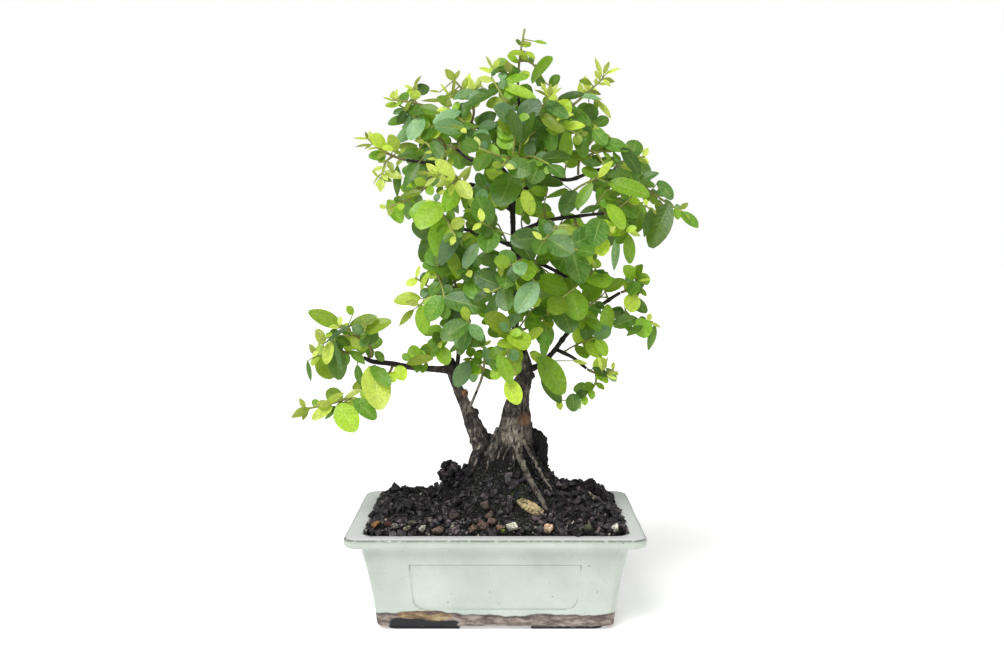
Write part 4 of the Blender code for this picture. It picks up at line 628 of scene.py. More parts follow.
def leafOptions(at, direction, side, length, tone, rng):
    # one leaf's ways to stand, the best first
    width = blade["width"][tone]
    for attempt in range(16):
        loose = attempt / 15
        facing = lightFrom(at, rng)
        lateral = direction.cross(facing)
        if lateral.length < 0.2:
            lateral = direction.cross(Vector((1, 0.2, 0.3)))
        lateral = lateral.normalized() * side
        spread = math.radians(rng.uniform(48, 68) if side else rng.uniform(-10, 10))
        along = direction * math.cos(spread) + lateral * math.sin(abs(spread))
        along += jolt(rng) * (0.16 + 0.5 * loose)
        along.z -= 0.12 if tone != "young" else -0.12
        along.normalize()
        normal = facing - along * facing.dot(along)
        if normal.length < 0.15:
            continue
        normal.normalize()
        size = length * rng.uniform(0.9, 1.1) * (1 - 0.32 * max(loose - 0.4, 0.0))
        yield along, normal, size, size * width * rng.uniform(0.92, 1.08)


def nearestTwig(plan, spot):
    # the spray whose twig passes nearest to a spot, and the point on it
    best = None
    for name, shoots in plan.items():
        for path in shoots:
            for a, b in zip(path, path[1:]):
                share = min(max(intersect_point_line(spot, a, b)[1], 0.0), 1.0)
                on = a.lerp(b, share)
                if best is None or (on - spot).length < best[0]:
                    best = ((on - spot).length, name, on)
    return best[1:]


def hangLeaf(row, plan, crowd, rng, grow):
    # a shown leaf on its stalk, stepped back or forward until both are clear of the rest
    foot, point, width = row[:3], row[3:6], row[6]
    turn = rng.uniform(-0.25, 0.25)
    for step in (0, -2, 2, -4, 4, -6, 6, -9, 9, -12, 12):
        for lean in (0, -4, 4, -8, 8):
            base = Vector(foot) + Vector((0, step, 0))
            span = Vector(point) + Vector((0, step + lean, 0)) - base
            along = span.normalized()
            facing = Vector((turn, -0.8, 0.6))
            normal = (facing - along * facing.dot(along)).normalized()
            name, root = nearestTwig(plan, base)
            own = (name, name + " leaf")
            leaf = (base, along, normal, span.length, width)
            flat = (base - root).dot(along) > 0.3 * (base - root).length
            stalk = None if flat else (root, base + along * blade["sunk"])
            clearFoot = min(blade["foot"], span.length / 3)
            far = plainBlade(base + along * clearFoot, along, normal, span.length - clearFoot, width, grow)
            tests = [plainBlade(*leaf, grow, root if flat else None)]
            if stalk:
                tests.append(tube(stalk, [blade["stalk"] + grow] * 2, twig["sides"]))
            if not crowd.hits(*far) and not any(crowd.hits(*test, ignore=own) for test in tests):
                return name, stalk, leaf, root, flat
    return None


def growSprays():
    # every twig first, then the leaves, in the same order as the solids, so that each leaf lies where its
    # solid is
    crowd = Crowd()
    for name in wood:
        crowd.add(*woodTube(name), "wood")
    crowd.add(*loft([roundedRing(85.0, 61.0, 8.0, z) for z in (0.0, 92.0)]), "ground")
    plan = {name: shootsOf(row) for name, row in sprays.items()}
    for name, shoots in plan.items():
        for n, path in enumerate(shoots):
            crowd.add(*tube(path, shootRadii(path, n == 0), twig["sides"]), name)
    leaves = []

    def hang(rows, rng, grow):
        for row in rows:
            found = hangLeaf(row, plan, crowd, rng, grow)
            if found:
                name, stalk, leaf, root, flat = found
                crowd.add(*plainBlade(*leaf, 0.0, root if flat else None), name + " leaf")
                if stalk:
                    crowd.add(*tube(stalk, [blade["stalk"]] * 2, twig["sides"]), name + " leaf")
                leaves.append((name, row[7], *leaf, root))

    hang(shownLeaves, random.Random("shown"), blade["gap"])
    foot, gap = blade["foot"], blade["gap"]
    for name, (_, _, length, tone, *tips) in sprays.items():
        rng = random.Random(name)
        own = (name, name + " leaf")
        for n, (path, row) in enumerate(zip(plan[name], tips)):
            pairs, scale = (*row[3:], 1.0)[:2]
            for pair in range(pairs):
                share = 0.42 + 0.5 * (pair + 0.5) / pairs if n == 0 else 0.5 + 0.45 * (pair + 0.5) / pairs
                at, direction, _, _ = alongPath(path, share)
                fade = 1.0 - 0.34 * (pair / max(pairs - 1, 1)) ** 2 if pairs > 1 else 1.0
                ends = pair == pairs - 1 and (n > 0 or tone == "young")
                for side in [1, -1] + ([0] if ends else []):
                    root = at if side else path[-1] - direction * 1.2
                    size = length * scale * fade * (0.72 if side == 0 else 1.0)
                    for along, normal, long, wide in leafOptions(root, direction, side, size, tone, rng):
                        base = root + along * 0.15 + direction * 0.5 * side
                        far = plainBlade(base + along * foot, along, normal, long - foot, wide, gap)
                        whole = plainBlade(base, along, normal, long, wide, gap)
                        if not (crowd.hits(*far) or crowd.hits(*whole, ignore=own)):
                            crowd.add(*plainBlade(base, along, normal, long, wide), own[1])
                            leaves.append((name, tone, base, along, normal, long, wide, None))
                            break
    solid = len(leaves)
    hang(smallLeaves, random.Random("small"), blade["smallGap"])
    print("leaves", solid, "and small", len(leaves) - solid)
    return crowd, plan, leaves


# Leaves

leafLook = {
    "petioleShare": 0.06, "petioleRadius": 0.36, "wave": 0.02,
    # rows along a blade and columns across it, for leaves longer than fineFrom and for the rest
    "fineFrom": 9, "fine": (11, 6), "coarse": (7, 4),
    # the blade's green for each tone, oldest leaf first, with its place on the ramp
    "tones": {"blue": (0.04, "#78a374"), "deep": (0.22, "#376520"), "mixed": (0.42, "#578a2b"),
              "bright": (0.62, "#82b12a"), "yellow": (0.8, "#b4d03c"), "young": (0.96, "#cddb62")},
    "between": [(0.13, "#4d7a44"), (0.32, "#4a7a22"), (0.52, "#699a26")],
    "vein": "#bfd27c", "through": "#a8d020",
    "toneSpread": 0.07, "outer": 0.12, "shade": (0.46, 1.52), "roughness": 0.3, "translucent": 0.3,
    # how strongly the midrib and the side veins show, and how many pairs of side veins there are
    "midrib": 0.34, "sideVeins": 0.17, "pairs": 7.0,
    "shootColours": [(0.0, "#5a4a38"), (0.35, "#7b7040"), (1.0, "#9fb04e")],
}


def leafBlade():
    # Living privet-like leaf: a waxy skin gives it a soft wide highlight, and light from behind
    # shows through yellower
    look = leafLook
    made, shader, node = newFinish("livingLeaf")
    place = node("Attribute", {"attribute_name": "place"})
    along, across, tone = node("SeparateColor", {}, {"Color": place}).outputs
    here = node("TexCoord").outputs["Object"]
    ramp = node("ValToRGB", {}, {"Fac": tone})
    setRamp(ramp, sorted(list(look["tones"].values()) + look["between"]))
    # blotches 4 mm wide, where the green is thinner
    blotch = node("TexNoise", {"Scale": 1 / (4 * mm), "Detail": 3.0}, {"Vector": here})
    blotchShare = node("MapRange", {"From Min": 0.42, "From Max": 0.75, "To Max": 0.16}, {"Value": blotch})
    # distance from the midrib, then the midrib itself and the side veins that run forward from it
    off = node("Math", {"operation": "SUBTRACT", 1: 0.5}, {0: across})
    off = node("Math", {"operation": "ABSOLUTE"}, {0: off})
    rib = node("MapRange", {"From Min": 0.01, "From Max": 0.04, "To Min": look["midrib"], "To Max": 0.0},
               {"Value": off})
    count = node("Math", {"operation": "MULTIPLY", 1: look["pairs"]}, {0: along})
    lean = node("Math", {"operation": "MULTIPLY_ADD", 1: -3.4}, {0: off, 2: count})
    saw = node("Math", {"operation": "PINGPONG", 1: 0.5}, {0: lean})
    side = node("MapRange", {"From Min": 0.02, "From Max": 0.12, "To Min": look["sideVeins"], "To Max": 0.0},
                {"Value": saw})
    veins = node("Math", {"operation": "MAXIMUM"}, {0: rib, 1: side})
    colour = ramp
    for share in (blotchShare, veins):
        colour = node("Mix", {"data_type": "RGBA", 7: hexLinear(look["vein"])}, {0: share, 6: colour})
    # every leaf has its own brightness, and its tissue swells between the veins in patches 1.7 mm wide
    leafLevel = node("MapRange", {"To Min": look["shade"][0], "To Max": look["shade"][1]},
                     {"Value": place.outputs["Alpha"]})
    patches = node("TexNoise", {"Scale": 1 / (1.7 * mm), "Detail": 3.0}, {"Vector": here})
    patchLevel = node("MapRange", {"From Min": 0.36, "From Max": 0.64, "To Min": 0.87, "To Max": 1.15},
                      {"Value": patches})
    level = node("Math", {"operation": "MULTIPLY"}, {0: leafLevel, 1: patchLevel})
    shaded = node("VectorMath", {"operation": "SCALE"}, {0: colour, "Scale": level})
    rise = node("Math", {"operation": "MULTIPLY_ADD", 1: -0.5}, {0: patches, 2: veins})
    dent = node("Bump", {"Strength": 0.8, "Distance": 0.45 * mm, "invert": True}, {"Height": rise})
    node(shader, {"Roughness": look["roughness"], "Specular IOR Level": 0.45},
         {"Base Color": shaded, "Normal": dent})
    glow = node("Mix", {"data_type": "RGBA", 0: 0.6, 7: hexLinear(look["through"])}, {6: shaded})
    sheer = node("BsdfTranslucent", {}, {"Color": glow})
    both = node("MixShader", {0: look["translucent"]}, {1: shader, 2: sheer})
    node(made.node_tree.nodes["Material Output"], {}, {"Surface": both})
    return made


def shootSkin():
    # This year's shoot: smooth green skin that browns towards the wood it grew from
    made, shader, node = newFinish("greenShootSkin")
    place = node("Attribute", {"attribute_name": "place"})
    youth = node("SeparateColor", {}, {"Color": place}).outputs[0]
    ramp = node("ValToRGB", {}, {"Fac": youth})
    setRamp(ramp, leafLook["shootColours"])
    node(shader, {"Roughness": 0.5}, {"Base Color": ramp})
    return made


def smoothRows(rows, step):
    # rows of x, y, z and radius on a smooth curve through the given ones, about a step apart
    rows, fine = [Vector(row) for row in rows], []
    for i in range(len(rows) - 1):
        p0, p1, p2, p3 = rows[max(i - 1, 0)], rows[i], rows[i + 1], rows[min(i + 2, len(rows) - 1)]
        count = max(1, round((p2.xyz - p1.xyz).length / step))
        for k in range(count):
            t = k / count
            fine.append(0.5 * (2 * p1 + (p2 - p0) * t + (2 * p0 - 5 * p1 + 4 * p2 - p3) * t * t
                               + (3 * p1 - p0 - 3 * p2 + p3) * t ** 3))
    return fine + [rows[-1]]


def leafWidth(share, slim):
    # width at a share of the blade, from its foot to its rounded tip
    return math.sin(math.pi * share ** (0.9 if slim else 1.02)) ** (0.8 if slim else 0.5)


def addLeaf(sheet, base, along, normal, long, wide, root, tone, rng):
    # one leaf: a fine stalk, then a folded, drooping blade with a gently waved edge
    points, faces, places, picks = sheet
    look = leafLook
    across = normal.cross(along)
    slim = wide < 0.58 * long and wide < blade["slimBelow"]
    steps, columns = look["fine"] if long > look["fineFrom"] else look["coarse"]
    foot = 0.0 if root else look["petioleShare"]
    phase, curl, lift = rng.uniform(0, 6.3), rng.uniform(-0.5, 0.6), rng.uniform(0.8, 1.25)
    twist = rng.uniform(-0.08, 0.08)
    wave = look["wave"] * wide
    # leaves out on the low left branch get more light and stay yellower
    at = (look["tones"][tone][0] + rng.uniform(-1, 1) * look["toneSpread"]
          + look["outer"] * smoothStep(-36, -62, base.x) * smoothStep(205, 180, base.z))
    chance = rng.random()
    start = len(points)
    for i in range(steps + 1):
        share = i / steps
        u = foot + (1 - foot) * share
        half = 0.5 * wide * leafWidth(min(max(share, 0.012), 0.985), slim)
        for j in range(columns + 1):
            v = 2 * j / columns - 1
            offset = v * half
            fold = blade["fold"] * lift * (math.sqrt(offset * offset + 0.3) - 0.55) + twist * offset * share
            droop = -blade["droop"] * (1 + curl) * long * u * u
            ripple = wave * math.sin(phase + 7.5 * u + 1.7 * v) * v * v
            spot = base + along * (u * long) + across * offset + normal * (fold + droop + ripple)
            points.append(Vector([min(max(c, a + 0.05), b - 0.05) for c, a, b in zip(spot, boxLow, boxHigh)]))
            places.append((share, 0.5 + 0.5 * v, at, chance))
    for i in range(steps):
        for j in range(columns):
            low, high = start + i * (columns + 1) + j, start + (i + 1) * (columns + 1) + j
            faces.append((low, high, high + 1, low + 1))
            picks.append(0)
    stalkEnd = base + along * ((foot + 0.04) * long)
    stalkStart = root or base
    stalk = tube([stalkStart, stalkStart.lerp(stalkEnd, 0.5) + normal * 0.12, stalkEnd],
                 [look["petioleRadius"] * k for k in (1.3, 1.0, 0.8)], 5)
    joinPart(points, faces, stalk)
    places += [(0.75, 0.5, at, chance)] * len(stalk[0])
    picks += [1] * len(stalk[1])


def addShoot(sheet, path, radii, youth, rng):
    # a round twig along the solid's own, slightly knotted where leaves stand
    points, faces, places, picks = sheet
    sides = 6
    rows = smoothRows([(*p, r * 0.8) for p, r in zip(path, radii)], 2.2)
    thickness = [row.w * (1.0 + rng.uniform(-0.08, 0.12)) for row in rows]
    twigTube = tube([row.xyz for row in rows], thickness, sides)
    joinPart(points, faces, twigTube)
    for k in range(len(twigTube[0])):
        level = (k // sides) / max(len(rows) - 1, 1)
        places.append((min(youth + 0.6 * level, 1.0), 0.5, 0.5, 1.0))
    picks += [1] * len(twigTube[1])


# what is too small or too hidden for the solids: twiglets on the thin branches, the smallest leaves at each
# joint
fillLook = {
    "every": 15.0, "reach": (13.0, 24.0), "leaf": (9.0, 15.0), "tiny": (5.0, 8.5), "near": 24.0,
    "thick": 0.62, "back": 0.25, "keep": 1.4,
    "tones": ["deep", "mixed", "mixed", "bright", "bright", "yellow", "blue"],
    "bare": ("left", "main_stub", "left_scar", "left_knot"), "radii": [0.75, 0.7, 0.62, 0.55, 0.5],
    # sky shows through here, seen from the front: x and z from and to
    "gaps": [((34, 62), (238, 266)), ((3, 17), (214, 238))],
}


def inCrown(tip, finder):
    if not all(boxLow[c] + 2 < tip[c] < boxHigh[c] - 1 for c in range(3)):
        return False
    if any(x0 < tip.x < x1 and z0 < tip.z < z1 for (x0, x1), (z0, z1) in fillLook["gaps"]):
        return False
    return finder.find(tip)[2] < fillLook["near"]


def growFill(crowd, plan, leaves):
    finder = finderOf([row[2] + row[3] * row[5] * 0.5 for row in leaves])
    extra, twiglets = [], []

    def place(root, direction, side, size, tone, rng, tries):
        keep = fillLook["keep"]
        for k, (along, normal, long, wide) in enumerate(leafOptions(root, direction, side, size, tone, rng)):
            base = root + along * 0.15 + direction * 0.5 * side
            if k >= tries or not inCrown(base + along * long, finder):
                break
            if not crowd.hits(*plainBlade(base + along * keep, along, normal, long - keep, wide, 0.1)):
                crowd.add(*plainBlade(base, along, normal, long, wide), "fill")
                extra.append((tone, base, along, normal, long, wide, None))
                return

    for name, (_, rows) in wood.items():
        if name.startswith("root") or name in fillLook["bare"]:
            continue
        rng = random.Random("fill " + name)
        path = [Vector(row[:3]) for row in rows]
        whole = sum((b - a).length for a, b in zip(path, path[1:]))
        at = rng.uniform(4, 9)
        while at < whole:
            root, direction, _, _ = alongPath(path, at / whole)
            at += fillLook["every"] * rng.uniform(0.7, 1.3)
            if root.z < 150 and root.x > -20:
                continue
            tone = rng.choice(fillLook["tones"])
            for _ in range(5):
                apart = root - Vector((8, 0, root.z))
                away = apart.normalized() * 0.5 if apart.length > 3 else Vector()
                out = jolt(rng) + away + Vector((0, fillLook["back"], 0.35))
                out = (out - direction * out.dot(direction) * 0.7).normalized()
                tip = root + out * rng.uniform(*fillLook["reach"]) + direction * rng.uniform(0, 6)
                shoot = bend(root + out * 1.6, out, tip, 3)
                solid = tube(shoot, [fillLook["thick"]] * 4, 3)
                if inCrown(tip, finder) and not crowd.hits(*solid):
                    crowd.add(*solid, "twiglet")
                    twiglets.append((tone, [root] + shoot))
                    size = rng.uniform(*fillLook["leaf"])
                    for share in (0.4, 0.7, 0.97):
                        joint, along, _, _ = alongPath(shoot, share)
                        for side in (1, -1):
                            place(joint, along, side, size * (1.1 - 0.35 * share), tone, rng, 10)
                    break
    for name, (_, _, _, tone, *_) in sprays.items():
        rng = random.Random("tiny " + name)
        for path in plan[name]:
            for at in (0.3, 0.55, 0.78, 0.97):
                for side in (1, -1):
                    joint, along, _, _ = alongPath(path, min(at + rng.uniform(-0.05, 0.03), 1.0))
                    size = rng.uniform(*fillLook["tiny"]) * (1.3 if at < 0.6 else 1.0)
                    kind = "young" if at > 0.9 and rng.random() < 0.7 else tone
                    place(joint, along, side, size, kind, rng, 8)
    return extra, twiglets


def makeLeaves():
    crowd, plan, leaves = growSprays()
    extra, twiglets = growFill(crowd, plan, leaves)
    print("and", len(extra), "small ones on", len(twiglets), "twiglets")
    finishes = [leafBlade(), shootSkin()]
    toneOf = {name: row[3] for name, row in sprays.items()}
    for tone in leafLook["tones"]:
        sheet = ([], [], [], [])
        rng = random.Random("leaf " + tone)
        for name, shoots in plan.items():
            if toneOf[name] == tone:
                for n, path in enumerate(shoots):
                    addShoot(sheet, path, shootRadii(path, n == 0), 0.2 if n == 0 else 0.4, rng)
        for kind, path in twiglets:
            if kind == tone:
                addShoot(sheet, path, fillLook["radii"], 0.3, rng)
        for name, own, *leaf in leaves:
            if toneOf[name] == tone:
                addLeaf(sheet, *leaf, own, rng)
        for kind, *leaf in extra:
            if kind == tone:
                addLeaf(sheet, *leaf, rng.choice(fillLook["tones"]) if kind != "young" else kind, rng)
        points, faces, places, picks = sheet
        addPiece("leaves" + tone.capitalize(), points, faces, finishes,
                 ["spray_" + name for name in sprays if toneOf[name] == tone], places, picks)


makeLeaves()
print("leaves made")


# Wood

woodLook = {
    "voxel": 0.62, "relief": 0.85, "fineRelief": 0.28,
    # radius at which clefts are deepest, noise scales that draw them out in height, where wet soil ends
    "fullAt": 9.0, "cleftScale": (0.42, 0.42, 0.085), "wetLine": 103.0,
    # sides of tubes: the thick wood before it is fused, from a radius of 6 mm and below it, and the thin
    "sides": (28, 18), "thinSides": 9, "shareElse": 0.95, "thinShare": 0.92,
    # the main trunk is thick wood up to the first height, and a round branch from the second
    "thickTo": 168, "thinFrom": 156,
    # the deep colour and the stain's near-black also paint shade: in the plates' hollows and in the clefts
    "deep": "#151314", "brown": "#3d3734", "grey": "#68605a", "light": "#aaa190", "root": "#9d9486",
    "thin": "#2f2829", "scar": "#9a6844", "stain": "#161416", "scarSpot": (-18.3, -4.2, 131.4),
    # how thick each part is beside its solid, how pale it is, and how far its foot stays clear of wet soil,
    # in mm
    "share": {"root_front": 0.92, "root_right_front": 0.72, "root_middle": 0.7, "root_left_front": 0.85},
    "pale": {"root_front": 1.0, "root_right_front": 0.26, "root_middle": 0.26, "root_left_front": 0.2,
             "left_hang": 0.9},
    "clear": {"root_front": 38.0, "left": 11.0, "root_left": 8.0, "root_left_front": 8.0, "root_middle": 2.0},
    # fine roots over the foot of the trunk: x and height of points seen from the front, then thickness
    "fineRoots": [([(11.5, 101), (10.5, 94), (11.0, 87), (10.0, 81)], 0.9),
                  ([(16, 104), (19.5, 97), (24, 90), (28.6, 82), (33, 75)], 1.2),
                  ([(5, 103), (2, 96), (-0.5, 89), (-2, 83)], 1.0), ([(8, 100), (5, 93), (4.2, 86)], 0.7),
                  ([(13, 104), (14.6, 99), (18.6, 93), (20.6, 87)], 0.8),
                  ([(-9.5, 97), (-11.5, 90), (-14.5, 83)], 1.1),
                  ([(1, 100), (-4.0, 92), (-6.5, 85), (-11, 79)], 0.8)],
    # burls: middle, reach and how far they stand out, the last one reddish
    "knobs": [((-14, -5.5, 103), 3.4, 1.5), ((-7, -7, 99), 3.6, 1.6), ((-11, -7.5, 95), 3.0, 1.4),
              ((-16.5, -3.0, 112.0), 2.6, 1.1), ((-2.0, -7.0, 104.0), 3.2, 1.2),
              ((6.0, -10.5, 108.0), 4.0, 1.5), ((12.0, -10.0, 112.0), 3.6, 1.3),
              ((3.5, -9.0, 116.0), 3.0, 1.0), ((16.6, -5.4, 115.0), 5.0, 1.9)],
}


def barkSkin():
    # Rough old bark, split lengthways: grey-brown plates, near-black in the clefts, partly as painted shade,
    # paler on the roots that the weather has washed, darker and smooth on thin young wood
    look = woodLook
    made, shader, node = newFinish("fissuredBark")
    place = node("Attribute", {"attribute_name": "place"})
    thick, pale, cleft = node("SeparateColor", {}, {"Color": place}).outputs
    here = node("TexCoord").outputs["Object"]
    # plates about 2 mm wide and 5 mm tall
    stretch = node("Mapping", {"Scale": (1 / (2 * mm), 1 / (2 * mm), 1 / (5 * mm))}, {"Vector": here})
    plates = node("TexNoise", {"Scale": 1.0, "Detail": 5.0, "Roughness": 0.62}, {"Vector": stretch})
    # near-black at the foot of the plates, where their bump is lowest: painted shade as well as dark bark
    ramp = node("ValToRGB", {}, {"Fac": plates})
    setRamp(ramp, [(0.34, look["deep"]), (0.45, look["brown"]), (0.58, look["grey"]), (0.72, look["light"])])
    young = node("MapRange", {"From Min": 0.08, "From Max": 0.2, "To Min": 0.85, "To Max": 0.0},
                 {"Value": thick})
    # washed wood keeps its darkest clefts and their painted shade
    plateTops = node("MapRange", {"From Min": 0.4, "From Max": 0.52}, {"Value": plates})
    washedShare = node("Math", {"operation": "MULTIPLY"}, {0: plateTops, 1: pale})
    colour = ramp
    for share, over in ((young, "thin"), (washedShare, "root")):
        colour = node("Mix", {"data_type": "RGBA", 7: hexLinear(look[over])}, {0: share, 6: colour})
    # lighter and darker stretches 9 mm wide
    broad = node("TexNoise", {"Scale": 1 / (9 * mm), "Detail": 3.0}, {"Vector": here})
    broadLevel = node("MapRange", {"From Min": 0.36, "From Max": 0.64, "To Min": 0.5, "To Max": 1.4},
                      {"Value": broad})
    colour = node("VectorMath", {"operation": "SCALE"}, {0: colour, "Scale": broadLevel})
    # painted shade in the clefts and the wet soil's stain share one near-black mark
    for share, over in ((cleft, "stain"), (place.outputs["Alpha"], "scar")):
        colour = node("Mix", {"data_type": "RGBA", 7: hexLinear(look[over])}, {0: share, 6: colour})
    grain = node("TexNoise", {"Scale": 1 / (0.8 * mm), "Detail": 4.0}, {"Vector": here})
    height = node("Math", {"operation": "MULTIPLY_ADD", 1: 0.35}, {0: grain, 2: plates})
    bump = node("Bump", {"Strength": 0.7, "Distance": 0.9 * mm}, {"Height": height})
    node(shader, {"Roughness": 0.82, "Specular IOR Level": 0.3}, {"Base Color": colour, "Normal": bump})
    return made


def woodFinder():
    # tells which wood runs nearest to a spot, and how thick it is there
    marks = [(name, row) for name in wood for row in smoothRows(wood[name][1], 2.0)]
    finder = finderOf([row.xyz for _, row in marks])

    def nearest(spot):
        name, row = marks[finder.find(spot)[1]]
        return name, row.w

    return nearest


def fuseWood(names):
    # overlapping tubes made one by a fine remesh, then smoothed
    points, faces = [], []
    for name in names:
        rows = [row for row in wood[name][1] if name != "main" or row[2] <= woodLook["thickTo"]]
        fine = smoothRows(rows, 1.6)
        share = woodLook["share"].get(name, woodLook["shareElse"])
        sides = woodLook["sides"][0 if rows[0][3] > 6 else 1]
        joinPart(points, faces, tube([row.xyz for row in fine], [row.w * share for row in fine], sides))
    rough = bpy.data.meshes.new("rough")
    rough.from_pydata([tuple(c * mm for c in p) for p in points], [], faces)
    holder = bpy.data.objects.new("rough", rough)
    bpy.context.scene.collection.objects.link(holder)
    fuse = holder.modifiers.new("fuse", "REMESH")
    fuse.mode, fuse.voxel_size = "VOXEL", woodLook["voxel"] * mm
    fused = bpy.data.meshes.new_from_object(holder.evaluated_get(bpy.context.evaluated_depsgraph_get()))
    bpy.data.objects.remove(holder, do_unlink=True)
    work = bmesh.new()
    work.from_mesh(fused)
    bpy.data.meshes.remove(fused)
    bmesh.ops.smooth_vert(work, verts=work.verts, factor=0.5,
                          use_axis_x=True, use_axis_y=True, use_axis_z=True)
    work.normal_update()
    return work


def weather(p, owner, radius):
    # how far a point of the bark moves out, and its marks: thickness, paleness, darkness (painted shade in
    # the clefts and the wet soil's stain), fresh cut
    look = woodLook
    size = min(radius / look["fullAt"], 1.0)
    # clefts run along the wood: noise drawn out in height, its creases cut inward
    q = Vector([c * scale for c, scale in zip(p, look["cleftScale"])])
    crease = abs(noise.noise(q)) + 0.5 * abs(noise.noise(q * 2.3 + Vector((7, 3, 1))))
    cleft = 1 - smoothStep(0.0, 0.2, crease)
    knots = noise.noise(p * 0.16)
    grain = noise.noise(Vector((p.x * 1.3, p.y * 1.3, p.z * 0.5)))
    move = (look["relief"] * size * (0.9 * knots - 1.1 * cleft + 0.4)
            + look["fineRelief"] * grain * (0.4 + size))
    burl = smoothStep(120, 110, p.z) * smoothStep(84, 92, p.z)
    move += burl * size * (1.1 * noise.noise(p * 0.33 + Vector((3, 9, 4))) + 0.5 * noise.noise(p * 0.8))
    # wet soil clings to the foot of the wood, least on the washed front root, and the stub on the right is
    # black
    wander = 6.0 * noise.noise(p * 0.15)
    line = look["wetLine"] + wander + 5.0 * noise.noise(p * 0.6) - look["clear"].get(owner, 0.0)
    # this share is the soil's stain alone; the clefts' painted shade joins it below
    stain = smoothStep(line + 3, line - 5, p.z)
    if owner == "root_right":
        stain = smoothStep(113, 108, p.z)
        move += 1.3 * noise.noise(p * 0.3) + 1.1 * abs(noise.noise(p * 0.7))
    for spot, reach, out in look["knobs"]:
        far = (p - Vector(spot)).length
        move += out * (1 - smoothStep(0, reach, far))
    red = 0.45 * (1 - smoothStep(2.0, 6.0, far))
    cut = 0.85 * ((1 - smoothStep(1.4, 3.2, (p - Vector(look["scarSpot"])).length))
                  * smoothStep(-0.3, 0.15, noise.noise(p * 0.9)))
    # darkness: the larger of painted shade in the clefts, deeper on thick wood, and the wet soil's stain
    dark = max(0.75 * cleft * (0.35 + size * 0.65), 0.93 * stain)
    pale = look["pale"].get(owner, 0.0) * (0.6 + 0.4 * noise.noise(p * 0.3))
    return move, (min(radius / 20.0, 1.0), pale, dark, max(cut, red))


def makeTrunk():
    # thick wood with clefts along it, the thin branches as round tubes on it, then the fine roots
    thick = [name for name, (sides, _) in wood.items() if sides >= 5 and name != "low_right"]
    nearestWood = woodFinder()
    work = fuseWood(thick)
    points, places = [], []
    for vert in work.verts:
        p = vert.co / mm
        move, marks = weather(p, *nearestWood(p))
        points.append(p + vert.normal * move)
        places.append(marks)
    faces = [tuple(v.index for v in face.verts) for face in work.faces]
    work.free()
    sides, share = woodLook["thinSides"], woodLook["thinShare"]
    for name in wood:
        if name in thick and name != "main":
            continue
        rows = [row for row in wood[name][1] if name != "main" or row[2] >= woodLook["thinFrom"]]
        fine = smoothRows(rows, 2.0)
        rng = random.Random("wood " + name)
        radii = [row.w * share * (1 + (rng.uniform(0.1, 0.3) if k % 6 == 3 else rng.uniform(-0.06, 0.06)))
                 for k, row in enumerate(fine)]
        branch = tube([row.xyz for row in fine], radii, sides)
        joinPart(points, faces, branch)
        for k in range(len(branch[0])):
            places.append((fine[k // sides].w / 20.0, woodLook["pale"].get(name, 0.0), 0.0, 0.0))
    # the fine roots lie on whatever shows there from the front, pale only where rain keeps them clean
    surface = solidTree("trunk")
    for path, radius in woodLook["fineRoots"]:
        rows = []
        for x, z in path:
            hit = surface.ray_cast(Vector((x, -70, z)), Vector((0, 1, 0)))[0]
            rows.append((x, (hit.y if hit else 0.0) - 0.15 * radius, z, radius))
        fine = smoothRows(rows, 1.0)
        spots = [Vector((row.x + noise.noise(row.xyz * 0.5), row.y, row.z)) for row in fine]
        radii = [row.w * (1 - 0.5 * k / len(fine)) * (1 + 0.25 * noise.noise(p))
                 for k, (row, p) in enumerate(zip(fine, spots))]
        root = tube(spots, radii, 8)
        joinPart(points, faces, root)
        clean = path[0][0] > 12
        places += [(0.5, (0.55 if clean else 0.22) + 0.3 * noise.noise(Vector(p) * 0.3),
                    0.0 if clean else 0.5 * smoothStep(96, 84, p[2]), 0.0) for p in root[0]]
    trunk = addPiece("fissuredTrunk", points, faces, [barkSkin()], ["trunk"], places)
    print("trunk faces", len(trunk.data.polygons))


makeTrunk()
print("wood made")


# Pot

potLook = {
    # inset from the rim's outer edge and height, up the outside, over the lip and down the inside
    "outside": [(16.7, 2.4), (14.9, 17.0), (12.2, 33.0), (8.8, 48.2)],
    "lip": [(8.2, 49.5), (7.2, 50.35), (5.0, 50.75), (2.4, 51.2), (1.0, 51.6), (0.35, 52.3), (0.05, 53.4),
            (0.0, 54.6), (0.1, 55.6), (0.5, 56.4), (1.2, 56.85), (2.4, 57.0), (6.0, 56.95), (9.0, 56.9),
            (10.1, 56.6), (10.8, 55.9)],
    "inside": [(12.6, 53.6), (14.8, 46.0), (18.6, 25.0), (22.4, 9.4), (24.0, 8.5)],
    # heights of the wall's levels, close together at the glaze line and at the panel's edges
    "levels": ([2.4, 3.2, 4.6, 6.2, 8.0, 9.6, 11.0] + evenSteps(11.8, 0.3, 6) + evenSteps(13.9, 0.9, 8)
               + evenSteps(22, 2.2, 8) + [38.4, 38.9] + evenSteps(39.1, 0.28, 5) + [41.5, 44.0, 46.5, 48.2]),
    "length": 170.0, "depth": 122.0, "corner": 8.0,
    "panelTop": 48.5, "panelFoot": 46.4, "panelHigh": 39.5, "panelLow": 12.5, "panelRound": 6.0,
    "panelSink": 0.75, "panelColumns": 50.6,
    "footOuter": (61.8, 42.6), "footInner": (51.0, 31.0), "footGap": (20.4, 12.0), "footHigh": 3.0,
    "glaze": "#bcc5ba", "glazePale": "#c6cfc4", "glazeDeep": "#b2beb3", "crackle": "#94a49a",
    # the pale rim colour is a painted highlight on the rim's flat top
    "speck": "#5a4636", "rimWear": "#35342f", "rimGlaze": "#f0f4f0", "groove": "#5f6d66",
    "clay": "#75675f", "clayDark": "#4b3f3c", "clayPale": "#a0948b", "clayLine": "#3a2f2c",
    # the soot colour also paints contact shade at the bottom of the feet
    "pool": "#7d6342", "poolEdge": "#ab9a74", "soot": "#15171d", "bareHigh": 9.5,
}


